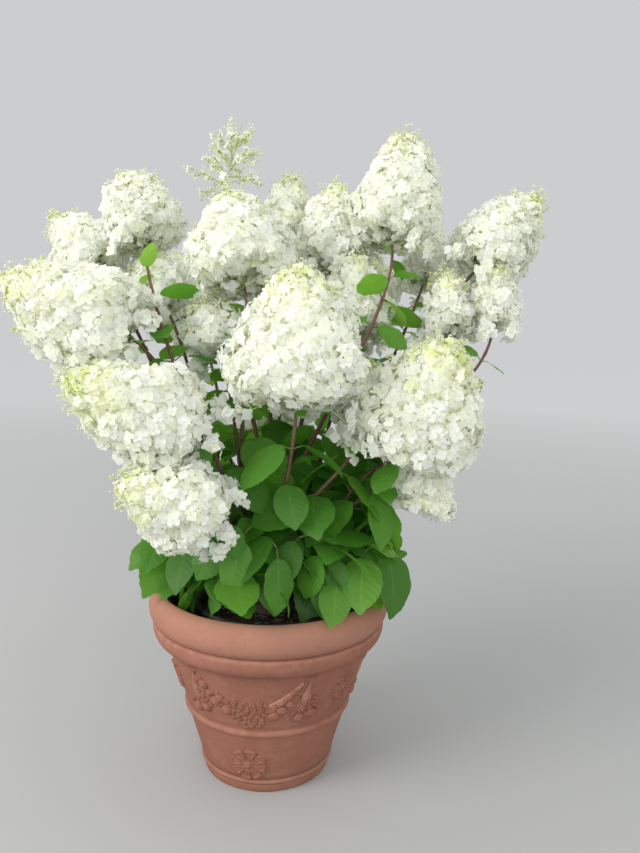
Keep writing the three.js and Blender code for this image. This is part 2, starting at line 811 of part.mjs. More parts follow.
// The bare twigs of every spray come first, so that cores and leaves can keep clear of them.
const shoots = CANES.flatMap((cane) =>
  cane.shoots.map((shoot) => {
    const shape = (extra) =>
      limb(shootCurve(cane, shoot), taper(FORK_RADIUS + extra, HEAD_RADIUS + extra), 3, 5);
    return { cane, shoot, solid: shape(0), room: shape(SHOOT_ROOM) };
  }),
);
const sprays = [];
for (const [index, cane] of CANES.entries()) {
  const own = shoots.filter((entry) => entry.cane === cane);
  const others = shoots.filter((entry) => entry.cane !== cane).map((entry) => entry.room);
  others.push(...placed.values(), ...sprays.map((spray) => spray.wood));
  const twigs = sideTwigs(cane, 300 + index).filter(
    ({ curve }) => !meets(limb(curve, taper(TWIG_RADIUS + 1, 3), 3, 2), others),
  );
  const sides = twigs.map((twig) => limb(twig.curve, taper(TWIG_RADIUS, TWIG_TIP_RADIUS), 3, 2));
  sprays.push({ cane, index, twigs, wood: addAll([...own.map((entry) => entry.solid), ...sides]) });
}

const panicles = CANES.flatMap((cane, c) =>
  cane.shoots.map((shoot, s) => ({ cane, shoot, seed: c * 3 + s })),
);
for (const panicle of panicles) {
  if (panicle.shoot.lacy) {
    panicle.core = lacyPanicle(panicle.shoot, panicle.seed);
    continue;
  }
  let core = panicleCore(panicle.shoot, panicle.seed);
  for (const other of panicles) {
    if (!other.core) continue;
    const middle = other.shoot.size[0] * 0.4;
    const centre = new THREE.Vector3(...other.shoot.head).addScaledVector(
      direction(...other.shoot.aim),
      middle,
    );
    const grown = scaledAbout(other.core, CORE_ROOM, centre);
    if (meets(core, [grown])) core = largestBody(core.subtract(grown));
  }
  for (const { shoot, room } of shoots) {
    if (shoot !== panicle.shoot && meets(core, [room])) core = largestBody(core.subtract(room));
  }
  panicle.core = core;
}

const hard = [...placed.values()];
const cores = panicles.map((panicle) => panicle.core);
const foliage = sprays.map((spray) => spray.wood);
sprays.forEach((spray, own) => {
  const candidates = [
    ...spray.twigs.flatMap((twig) => twig.leaves),
    ...spray.cane.shoots.flatMap((shoot, s) =>
      leavesOnShoot(spray.cane, shoot, 100 + spray.index * 5 + s),
    ),
  ];
  for (const leaf of candidates) {
    const guard = leafSolid(leaf, LEAF_ROOM);
    const others = [...hard, ...cores, ...foliage.filter((_, i) => i !== own)];
    if (meets(guard, others)) continue;
    foliage[own] = foliage[own].add(leafSolid(leaf));
  }
  place("spray_" + spray.cane.name, foliage[own], PAINTS.foliage);
});

const bodies = panicles.map((panicle) => panicle.core);
panicles.forEach((panicle, own) => {
  if (!panicle.shoot.lacy) {
    for (const floret of panicleFlorets(panicle.shoot, panicle.seed)) {
      const guard = scaledAbout(floret, FLORET_ROOM, centreOf(floret));
      const others = [...placed.values(), ...bodies.filter((_, i) => i !== own)];
      if (meets(guard, others)) continue;
      bodies[own] = bodies[own].add(floret);
    }
  }
  place("panicle_" + panicle.shoot.name, bodies[own], PAINTS.petals);
});

export default shrub;
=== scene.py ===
"""Looks for a potted panicle hydrangea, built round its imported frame.

Sizes are in millimetres and become metres where a mesh is made. +Z is up, the origin is the middle
of the planter's underside, and the planter's front faces -Y. The shrub grows by the same rules as
the part's own solids: canes rise from a woody stool, each forks into shoots with opposite pairs of
leaves, and each shoot ends under a panicle. Here they are carried on to fine twigs, veined leaves
and single florets.
"""

import logging
import math
from collections.abc import Callable, Sequence
from dataclasses import dataclass
from enum import Enum, IntEnum

import bpy
import numpy as np
from mathutils import Matrix, Vector


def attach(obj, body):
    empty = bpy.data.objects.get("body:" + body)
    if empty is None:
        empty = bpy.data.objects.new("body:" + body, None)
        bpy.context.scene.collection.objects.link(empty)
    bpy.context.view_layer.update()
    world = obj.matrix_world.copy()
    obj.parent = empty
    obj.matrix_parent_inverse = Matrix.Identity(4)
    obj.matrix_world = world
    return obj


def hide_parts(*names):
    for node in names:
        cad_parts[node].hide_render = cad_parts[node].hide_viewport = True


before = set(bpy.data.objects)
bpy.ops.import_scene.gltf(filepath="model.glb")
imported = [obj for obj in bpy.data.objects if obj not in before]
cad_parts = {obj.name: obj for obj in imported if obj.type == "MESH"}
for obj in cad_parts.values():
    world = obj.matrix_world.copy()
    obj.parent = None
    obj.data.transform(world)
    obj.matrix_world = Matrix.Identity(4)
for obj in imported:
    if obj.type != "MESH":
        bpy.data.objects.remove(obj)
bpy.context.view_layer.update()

Array = np.ndarray
Colour = tuple[float, float, float]
Point = tuple[float, float, float]
Pair = tuple[float, float]
Row = tuple[float, ...]
Random = np.random.Generator
Socket = bpy.types.NodeSocket
Value = Socket | float
Material = bpy.types.Material

MM = 0.001
UP = np.array([0.0, 0.0, 1.0])
ACROSS = np.array([0.0, 1.0, 0.0])
GOLDEN_ANGLE = math.pi * (3 - math.sqrt(5))

log = logging.getLogger("hydrangea")


# Vectors and curves


def unit(vectors: Array) -> Array:
    """Returns the vectors at length one."""
    return vectors / np.maximum(np.linalg.norm(vectors, axis=-1, keepdims=True), 1e-12)


def direction(azimuth: float, elevation: float) -> Array:
    """Returns the unit vector at an azimuth and elevation in degrees."""
    around, above = math.radians(azimuth), math.radians(elevation)
    flat = math.cos(above)
    return np.array([flat * math.cos(around), flat * math.sin(around), math.sin(above)])


def on_circle(azimuth: float, radius: float, height: float) -> Array:
    """Returns a point from its azimuth in degrees, its radius and its height."""
    around = math.radians(azimuth)
    return np.array([radius * math.cos(around), radius * math.sin(around), height])


def circle(count: int) -> Array:
    """Returns even angles round a full turn, in radians."""
    return np.linspace(0, 2 * math.pi, count, endpoint=False)


def about_axis(radius: Array | float, turn: Array, height: Array | float) -> Array:
    """Returns points from their radii, their angles in radians and their heights."""
    return np.stack(np.broadcast_arrays(radius * np.cos(turn), radius * np.sin(turn), height), axis=-1)


def spun(turn: Array) -> Array:
    """Returns the 3 by 3 matrices that turn points about +Z by angles in radians."""
    zero, one = np.zeros_like(turn), np.ones_like(turn)
    rows = [np.cos(turn), -np.sin(turn), zero, np.sin(turn), np.cos(turn), zero, zero, zero, one]
    return np.stack(rows, axis=-1).reshape(-1, 3, 3)


def turned(vector: Array, axis: Array, angle: float) -> Array:
    """Returns a vector turned about a unit axis by an angle in radians."""
    along = axis * (axis @ vector)
    side = vector - along
    return along + side * math.cos(angle) + np.cross(axis, vector) * math.sin(angle)


def upright_to(aims: Array) -> Array:
    """Returns the 3 by 3 matrices of the shortest turns that take +Z to each unit vector."""
    x, y, z = aims[:, 0], aims[:, 1], np.maximum(aims[:, 2], -0.9999)
    share = 1 / (1 + z)
    rows = [1 - x * x * share, -x * y * share, x, -x * y * share, 1 - y * y * share, y, -x, -y, z]
    return np.stack(rows, axis=-1).reshape(-1, 3, 3)


@dataclass(frozen=True)
class Way:
    """A cubic curve that a cane, a shoot or a twig follows: its start, two handles and its end."""

    corners: Array

    @classmethod
    def between(cls, start: Array, leave: Array, arrive: Array, end: Array, pull: tuple) -> "Way":
        """Makes a curve from its ends and the unit vectors along it there.

        Args:
            start: The first point.
            leave: The way it goes there.
            arrive: The way it goes at its end.
            end: The last point.
            pull: Both handles' lengths, as shares of the distance between the ends.

        Returns:
            The curve.
        """
        reach = np.linalg.norm(end - start)
        handles = start + leave * reach * pull[0], end - arrive * reach * pull[1]
        return cls(np.stack([start, *handles, end]))

    def at(self, shares: Array) -> Array:
        """Returns the points at shares of the curve from 0 to 1."""
        t = np.atleast_1d(shares)[:, None]
        a, b, c, d = self.corners
        return a * (1 - t) ** 3 + 3 * b * t * (1 - t) ** 2 + 3 * c * t * t * (1 - t) + d * t**3

    def heading(self, share: float) -> Array:
        """Returns the unit vector along the curve at a share of it."""
        near = self.at(np.array([max(0, share - 0.01), min(1, share + 0.01)]))
        return unit(near[1] - near[0])

    def length(self) -> float:
        """Returns the curve's length."""
        return float(np.linalg.norm(np.diff(self.at(np.linspace(0, 1, 33)), axis=0), axis=1).sum())

    def share_at(self, length: float) -> float:
        """Returns the share of the curve at a length along it."""
        shares = np.linspace(0, 1, 33)
        steps = np.linalg.norm(np.diff(self.at(shares), axis=0), axis=1)
        return float(np.interp(length, np.concatenate([[0], np.cumsum(steps)]), shares))


# Meshes


def grid_faces(rows: int, columns: int, closed: bool = False) -> Array:
    """Returns the corners of four-sided faces that join rows of points, and go round if closed."""
    row, column = np.meshgrid(np.arange(rows - 1), np.arange(columns - (not closed)), indexing="ij")
    beside = (column + 1) % columns
    corners = [row * columns + column, row * columns + beside, (row + 1) * columns + beside]
    return np.stack([*corners, (row + 1) * columns + column], axis=-1).reshape(-1, 4)


class MeshBatch:
    """Patches of faces that are gathered one by one and become one mesh."""

    def __init__(self) -> None:
        """Starts with no faces."""
        self._points: list[Array] = []
        self._faces: list[Array] = []
        self._slots: list[Array] = []
        self._count = 0

    def add(self, points: Array, faces: Array, slots: Array | int = 0) -> None:
        """Adds a patch.

        Args:
            points: Its points in millimetres.
            faces: Its corner numbers, one row a face.
            slots: The finish's number for each face, or one number for them all.
        """
        points = points.reshape(-1, 3)
        self._points.append(points)
        self._faces.append(faces + self._count)
        self._slots.append(np.broadcast_to(np.asarray(slots, np.int32), len(faces)))
        self._count += len(points)

    def add_grid(self, points: Array, closed: bool = False, slot: int = 0) -> None:
        """Adds points, as rows by columns by three, joined row to row, and round where it is closed."""
        self.add(points, grid_faces(points.shape[0], points.shape[1], closed), slot)

    def add_tube(self, path: Array, radii: Array, sides: int, slot: int = 0) -> None:
        """Adds a tube with a rounded end.

        Args:
            path: The points it follows, one row each.
            radii: Its radius at each point, or at each point and side.
            sides: How many sides it has.
            slot: The number of the finish.
        """
        headings = unit(np.gradient(path, axis=0))
        normal = np.cross(headings[0], UP if abs(headings[0][2]) < 0.9 else ACROSS)
        normals = np.empty_like(path)
        for i, heading in enumerate(headings):
            normal = unit(normal - heading * (normal @ heading))
            normals[i] = normal
        across = np.cross(headings, normals)
        turns = circle(sides)[None, :, None]
        ring = np.cos(turns) * normals[:, None] + np.sin(turns) * across[:, None]
        radii = np.broadcast_to(np.asarray(radii, float).reshape(len(path), -1), (len(path), sides))
        shell = path[:, None] + ring * radii[..., None]
        cap = path[-1] + headings[-1] * radii[-1].mean() * 0.5 + ring[-1] * radii[-1][:, None] * 0.25
        self.add_grid(np.concatenate([shell, cap[None]]), closed=True, slot=slot)

    def make(self, name: str, finishes: Sequence[Material]) -> bpy.types.Object:
        """Makes the mesh.

        Args:
            name: The piece's name.
            finishes: Its materials, in the order of their numbers.

        Returns:
            The piece, in the scene.
        """
        mesh = bpy.data.meshes.new(name)
        points = np.concatenate(self._points) * MM
        corners = np.concatenate([faces.ravel() for faces in self._faces])
        totals = np.concatenate([np.full(len(faces), faces.shape[1]) for faces in self._faces])
        mesh.vertices.add(len(points))
        mesh.vertices.foreach_set("co", points.astype(np.float32).ravel())
        mesh.loops.add(len(corners))
        mesh.loops.foreach_set("vertex_index", corners.astype(np.int32))
        mesh.polygons.add(len(totals))
        mesh.polygons.foreach_set("loop_start", (np.cumsum(totals) - totals).astype(np.int32))
        mesh.polygons.foreach_set("material_index", np.concatenate(self._slots))
        mesh.polygons.foreach_set("use_smooth", np.ones(len(totals), bool))
        for finish in finishes:
            mesh.materials.append(finish)
        mesh.update(calc_edges=True)
        piece = bpy.data.objects.new(name, mesh)
        bpy.context.scene.collection.objects.link(piece)
        return piece


def keep(piece: bpy.types.Object, slot: str, *nodes: str) -> None:
    """Ties a finished piece to the frame and reports it.

    Args:
        piece: The piece.
        slot: The record's material slot for the piece. It is not used.
        nodes: The solids that it stands for.
    """
    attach(piece, "root")
    if nodes:
        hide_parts(*nodes)
    log.info("%s: %d faces", piece.name, len(piece.data.polygons))


# Shader building


def rgba(colour: Colour) -> tuple[float, float, float, float]:
    """Returns a colour with full opacity."""
    return (*colour, 1.0)


class Wiring:
    """Places nodes in one tree and joins them."""

    def __init__(self, tree: bpy.types.NodeTree) -> None:
        """Starts with an empty tree."""
        tree.nodes.clear()
        self.tree = tree

    def node(self, kind: str, inputs: dict | None = None, **settings: object) -> bpy.types.Node:
        """Adds a node.

        Args:
            kind: Its type, without the leading ShaderNode.
            inputs: What goes into its sockets, each a value or another node's output.
            settings: Its other properties.

        Returns:
            The node.
        """
        made = self.tree.nodes.new("ShaderNode" + kind)
        for name, value in settings.items():
            setattr(made, name, value)
        for name, value in (inputs or {}).items():
            if isinstance(value, Socket):
                self.tree.links.new(value, made.inputs[name])
            else:
                made.inputs[name].default_value = value
        return made

    def maths(self, operation: str, a: Value, b: Value) -> Socket:
        """Returns the result of an operation on two values."""
        return self.node("Math", {0: a, 1: b}, operation=operation).outputs[0]

    def times(self, a: Value, b: Value) -> Socket:
        """Returns a product."""
        return self.maths("MULTIPLY", a, b)

    def plus(self, a: Value, b: Value) -> Socket:
        """Returns a sum."""
        return self.maths("ADD", a, b)

    def minus(self, a: Value, b: Value) -> Socket:
        """Returns a difference."""
        return self.maths("SUBTRACT", a, b)

    def blend(self, share: Value, a: Socket | Colour, b: Socket | Colour) -> Socket:
        """Returns a mix of two colours, a where the share is 0 and b where it is 1."""
        a, b = (value if isinstance(value, Socket) else rgba(value) for value in (a, b))
        return self.node("Mix", {0: share, 6: a, 7: b}, data_type="RGBA").outputs[2]

    def spread(self, value: Socket, low: float, high: float, top: float = 1.0) -> Socket:
        """Returns a value mapped from low and high to 0 and top, and held there."""
        inputs = {"Value": value, "From Min": low, "From Max": high, "To Max": top}
        return self.node("MapRange", inputs).outputs["Result"]

    def place(self, stretch: Colour = (1.0, 1.0, 1.0)) -> Socket:
        """Returns the point on the object, in metres, scaled along each axis."""
        point = self.node("TexCoord").outputs["Object"]
        return self.node("Mapping", {"Vector": point, "Scale": stretch}).outputs[0]

    def distance(self, point: Socket) -> Socket:
        """Returns how far a point is from the origin."""
        return self.node("VectorMath", {0: point}, operation="LENGTH").outputs["Value"]

    def noise(self, place: Socket, scale: Value, detail: float) -> Socket:
        """Returns smooth noise from 0 to 1 at a number of grains a metre."""
        inputs = {"Vector": place, "Scale": scale, "Detail": detail}
        return self.node("TexNoise", inputs).outputs[0]

    def cells(self, place: Socket, scale: Value) -> Socket:
        """Returns the distance from the middle of the nearest of a number of cells a metre."""
        return self.node("TexVoronoi", {"Vector": place, "Scale": scale}).outputs["Distance"]

    def effect(self, kind: "type[Effect]", **inputs: float) -> Socket:
        """Adds a shared effect with its inputs by name, and returns what it puts out."""
        made = self.tree.nodes.new("ShaderNodeGroup")
        made.node_tree = kind.group()
        for name, value in inputs.items():
            made.inputs[name.capitalize()].default_value = value
        return made.outputs[0]

    def relief(self, strength: float, depth: float, height: Socket) -> Socket:
        """Returns the normal of a surface with fine relief, whose depth is in metres."""
        return self.node("Bump", {"Strength": strength, "Distance": depth, "Height": height}).outputs[0]

    def surface(self, colour: Socket, roughness: Value, **others: Value) -> Socket:
        """Returns an opaque surface's shader. The others may be its specular level and its normal."""
        names = {"specular": "Specular IOR Level", "normal": "Normal"}
        inputs = {"Base Color": colour, "Roughness": roughness}
        inputs |= {names[key]: value for key, value in others.items()}
        return self.node("BsdfPrincipled", inputs).outputs[0]


class Effect:
    """An effect that several finishes use: a node group with one number output, built once."""

    name: str
    inputs: dict[str, float]
    output: str

    @classmethod
    def wire(cls, net: Wiring, ends: dict[str, Socket]) -> Socket:
        """Builds the nodes from the group's inputs by name, and returns what it puts out."""
        raise NotImplementedError

    @classmethod
    def group(cls) -> bpy.types.NodeTree:
        """Returns the node group, built if it isn't there yet."""
        found = bpy.data.node_groups.get(cls.name)
        if found:
            return found
        tree = bpy.data.node_groups.new(cls.name, "ShaderNodeTree")
        net = Wiring(tree)
        for socket, value in cls.inputs.items():
            made = tree.interface.new_socket(socket, in_out="INPUT", socket_type="NodeSocketFloat")
            made.default_value = value
        tree.interface.new_socket(cls.output, in_out="OUTPUT", socket_type="NodeSocketFloat")
        entry, leave = tree.nodes.new("NodeGroupInput"), tree.nodes.new("NodeGroupOutput")
        ends = {socket: entry.outputs[socket] for socket in cls.inputs}
        tree.links.new(cls.wire(net, ends), leave.inputs[0])
        return tree


class Mottle(Effect):
    """Uneven tone: broad patches with finer ones in them."""

    name = "mottle"
    inputs = {"Scale": 8.0, "Contrast": 1.0}
    output = "Mask"

    @classmethod
    def wire(cls, net: Wiring, ends: dict[str, Socket]) -> Socket:
        """Returns the mask."""
        place = net.place()
        broad = net.noise(place, ends["Scale"], 4.0)
        fine = net.noise(place, net.times(ends["Scale"], 7.0), 3.0)
        mixed = net.plus(net.times(broad, 0.68), net.times(fine, 0.32))
        centred = net.times(net.minus(mixed, 0.5), ends["Contrast"])
        tone = net.plus(net.times(centred, 2.6), 0.5)
        return net.node("Clamp", {"Value": tone}).outputs[0]


class Grain(Effect):
    """Fine surface grain with pits."""

    name = "grain"
    inputs = {"Scale": 400.0, "Pits": 0.3}
    output = "Height"

    @classmethod
    def wire(cls, net: Wiring, ends: dict[str, Socket]) -> Socket:
        """Returns the height."""
        place = net.place()
        grit = net.noise(place, ends["Scale"], 4.0)
        pits = net.spread(net.cells(place, ends["Scale"]), 0.0, 0.35)
        return net.plus(grit, net.times(pits, ends["Pits"]))


class EdgeWear(Effect):
    """Where edges stand out and are rubbed pale, broken up by noise."""

    name = "edge_wear"
    inputs = {"Amount": 1.0, "Scale": 60.0}
    output = "Mask"

    @classmethod
    def wire(cls, net: Wiring, ends: dict[str, Socket]) -> Socket:
        """Returns the mask."""
        proud = net.spread(net.node("NewGeometry").outputs["Pointiness"], 0.5, 0.62)
        broken = net.spread(net.noise(net.place(), ends["Scale"], 4.0), 0.3, 0.6)
        return net.times(net.times(proud, broken), ends["Amount"])


class HollowShade(Effect):
    """Where a surface is hollow: the mask for painted shade there."""

    name = "hollows"
    inputs = {"Amount": 1.0}
    output = "Mask"

    @classmethod
    def wire(cls, net: Wiring, ends: dict[str, Socket]) -> Socket:
        """Returns the mask."""
        bend = net.node("NewGeometry").outputs["Pointiness"]
        return net.times(net.minus(1.0, net.spread(bend, 0.4, 0.5)), ends["Amount"])


class Finish:
    """A material that is built once, the first time it is asked for."""

    name: str

    def wire(self, net: Wiring) -> Socket:
        """Returns the surface's shader."""
        raise NotImplementedError

    def make(self) -> Material:
        """Returns the material, built if it isn't there yet."""
        found = bpy.data.materials.get(self.name)
        if found:
            return found
        material = bpy.data.materials.new(self.name)
        material.use_nodes = True
        net = Wiring(material.node_tree)
        net.node("OutputMaterial", {"Surface": self.wire(net)})
        return material


@dataclass(frozen=True)
class Terracotta(Finish):
    """Fired clay with pale bloom, rubbed edges, painted shade in its hollows and drip marks on the rim.

    Heights and radii are in metres. The inner wall and the rim's throat are painted darker: moist clay and
    painted shade within the wall, painted shade in the throat.
    """

    name: str = "fired_clay"
    clay: Colour = (0.305, 0.131, 0.088)
    rosy: Colour = (0.238, 0.096, 0.065)
    bloom: Colour = (0.42, 0.215, 0.150)
    stain: Colour = (0.105, 0.068, 0.032)
    worn: Colour = (0.50, 0.27, 0.19)
    damp_shade: Colour = (0.165, 0.070, 0.048)
    rim_heights: Pair = (0.385, 0.415)
    drip_heights: Pair = (0.33, 0.42)
    grimy_height: float = 0.09
    inside_heights: Pair = (0.025, 0.41)
    inside_radii: Pair = (0.148, 0.2555)
    throat_radius: float = 0.2625
    throat_heights: tuple[float, float, float] = (0.405, 0.435, 0.466)
    floor_height: float = 0.02

    def wire(self, net: Wiring) -> Socket:
        """Returns the surface's shader."""
        height = net.node("SeparateXYZ", {0: net.place()}).outputs[2]
        tone = net.effect(Mottle, scale=7.0, contrast=0.9)
        colour = net.blend(tone, self.rosy, self.clay)
        chalk = net.effect(Mottle, scale=17.0, contrast=1.5)
        colour = net.blend(net.spread(chalk, 0.5, 1.0, 0.2), colour, self.bloom)
        colour = net.blend(net.spread(height, *self.rim_heights, 0.45), colour, self.bloom)
        streaks = net.noise(net.place((60.0, 60.0, 5.0)), 1.0, 4.0)
        high = net.spread(height, *self.drip_heights)
        drips = net.times(net.spread(streaks, 0.55, 0.8, 0.16), high)
        colour = net.blend(drips, colour, self.stain)
        low = net.minus(0.32, net.spread(height, 0.0, self.grimy_height, 0.32))
        grime = net.times(low, net.spread(tone, 0.2, 0.8))
        colour = net.blend(grime, colour, self.stain)
        # painted shade: concave places are blended toward the darker rosy clay
        colour = net.blend(net.effect(HollowShade, amount=0.6), colour, self.rosy)
        colour = net.blend(net.effect(EdgeWear, amount=0.9, scale=45.0), colour, self.worn)
        # painted shade, with moist clay: the inner wall and the rim's throat are darkened
        colour = net.blend(self._damp_shade_mask(net, height), colour, self.damp_shade)
        grain = net.effect(Grain, scale=520.0, pits=0.6)
        uneven = net.noise(net.place((1.0, 1.0, 3.0)), 30.0, 2.0)
        skin = net.plus(net.times(grain, 0.35), net.times(uneven, 2.2))
        roughness = net.plus(net.times(tone, 0.16), 0.74)
        return net.surface(colour, roughness, specular=0.2, normal=net.relief(0.35, 0.0012, skin))

    def _damp_shade_mask(self, net: Wiring, height: Socket) -> Socket:
        """Returns where the inside is painted darker: the inner wall fully, as moist clay and painted shade,
        and the rim's inside a little, as painted shade.
        """
        parts = net.node("SeparateXYZ", {0: net.place()}).outputs
        radius = net.distance(net.node("CombineXYZ", {0: parts[0], 1: parts[1]}).outputs[0])
        (foot, top), (narrow, broad) = self.inside_heights, self.inside_radii
        inputs = {"Value": height, "From Min": foot, "From Max": top, "To Min": narrow, "To Max": broad}
        wall = net.node("MapRange", inputs).outputs["Result"]
        within = net.maths("LESS_THAN", radius, wall)
        start, fading, end = self.throat_heights
        below = net.minus(1.0, net.spread(height, fading, end))
        high = net.times(net.maths("GREATER_THAN", height, start), below)
        throat = net.times(net.maths("LESS_THAN", radius, self.throat_radius), high)
        wet_and_shaded = net.maths("MAXIMUM", within, net.times(throat, 0.8))
        return net.times(wet_and_shaded, net.maths("GREATER_THAN", height, self.floor_height))


@dataclass(frozen=True)
class PotPlastic(Finish):
    """Thin black plastic, dusty and scuffed on its edges."""

    name: str = "pot_plastic"
    black: Colour = (0.012, 0.013, 0.015)
    dust: Colour = (0.10, 0.095, 0.09)
    roughness: float = 0.42

    def wire(self, net: Wiring) -> Socket:
        """Returns the surface's shader."""
        tone = net.effect(Mottle, scale=22.0, contrast=1.4)
        rubbed = net.effect(EdgeWear, amount=0.5, scale=90.0)
        dusty = net.plus(net.spread(tone, 0.5, 1.0, 0.3), rubbed)
        colour = net.blend(dusty, self.black, self.dust)
        roughness = net.plus(net.times(tone, 0.25), self.roughness)
        grain = net.effect(Grain, scale=900.0, pits=0.0)
        return net.surface(colour, roughness, normal=net.relief(0.12, 0.0005, grain))


@dataclass(frozen=True)
class Earth(Finish):
    """Dark crumbly compost or grit."""

    name: str = "compost_earth"
    dark: Colour = (0.016, 0.011, 0.008)
    light: Colour = (0.075, 0.048, 0.030)
    crumb: float = 150.0

    def wire(self, net: Wiring) -> Socket:
        """Returns the surface's shader."""
        tone = net.effect(Mottle, scale=self.crumb / 3, contrast=1.8)
        colour = net.blend(tone, self.dark, self.light)
        grain = net.effect(Grain, scale=self.crumb, pits=1.2)
        return net.surface(colour, 0.93, normal=net.relief(0.9, 0.004, grain))


@dataclass(frozen=True)
class Bark(Finish):
    """Bark in streaks along the stem, with pale corky flecks."""

    name: str
    dark: Colour
    light: Colour
    fleck: Colour = (0.42, 0.31, 0.22)
    flecked: float = 0.3
    roughness: float = 0.62
    depth: float = 0.0012

    def wire(self, net: Wiring) -> Socket:
        """Returns the surface's shader."""
        streak = net.noise(net.place((260.0, 260.0, 26.0)), 1.0, 4.0)
        tone = net.effect(Mottle, scale=24.0, contrast=1.2)
        mixed = net.plus(net.spread(streak, 0.3, 0.7, 0.6), net.times(tone, 0.4))
        colour = net.blend(mixed, self.dark, self.light)
        cells = net.cells(net.place((1.0, 1.0, 0.5)), 190.0)
        corky = net.minus(self.flecked, net.spread(cells, 0.1, 0.3, self.flecked))
        colour = net.blend(corky, colour, self.fleck)
        grain = net.effect(Grain, scale=600.0, pits=0.2)
        skin = net.plus(streak, net.times(grain, 0.3))
        return net.surface(colour, self.roughness, normal=net.relief(0.6, self.depth, skin))


@dataclass(frozen=True)
class ThinTissue(Finish):
    """A leaf or a sepal: one even colour with a faint mottle, which lets some light through."""

    name: str
    colour: Colour
    glow: Colour
    through: float = 0.22
    roughness: float = 0.5
    mottled: float = 0.22
    specular: float = 0.4
    bump: float = 0.15

    def wire(self, net: Wiring) -> Socket:
        """Returns the surface's shader."""
        tone = net.effect(Mottle, scale=55.0, contrast=1.3)
        darker = tuple(0.72 * c for c in self.colour)
        shade = net.minus(self.mottled, net.times(tone, self.mottled))
        colour = net.blend(shade, self.colour, darker)
        grain = net.effect(Grain, scale=700.0, pits=0.0)
        normal = net.relief(self.bump, 0.0006, grain)
        surface = net.surface(colour, self.roughness, specular=self.specular, normal=normal)
        lit = net.node("BsdfTranslucent", {"Color": rgba(self.glow)}).outputs[0]
        return net.node("MixShader", {0: self.through, 1: surface, 2: lit}).outputs[0]


@dataclass(frozen=True)
class StudioFloor(Finish):
    """A plain pale floor, darker near the planter than far away: painted light that evens out the lamps'
    falloff, so the far floor meets the backdrop.
    """

    name: str = "studio_floor"
    near: Colour = (0.40, 0.40, 0.395)
    far: Colour = (0.635, 0.630, 0.630)
    change: Pair = (1.0, 9.0)

    def wire(self, net: Wiring) -> Socket:
        """Returns the surface's shader."""
        # painted light: paler with distance, where the lamps light the floor less
        away = net.spread(net.distance(net.place()), *self.change)
        return net.surface(net.blend(away, self.near, self.far), 1.0, specular=0.0)


# Planter


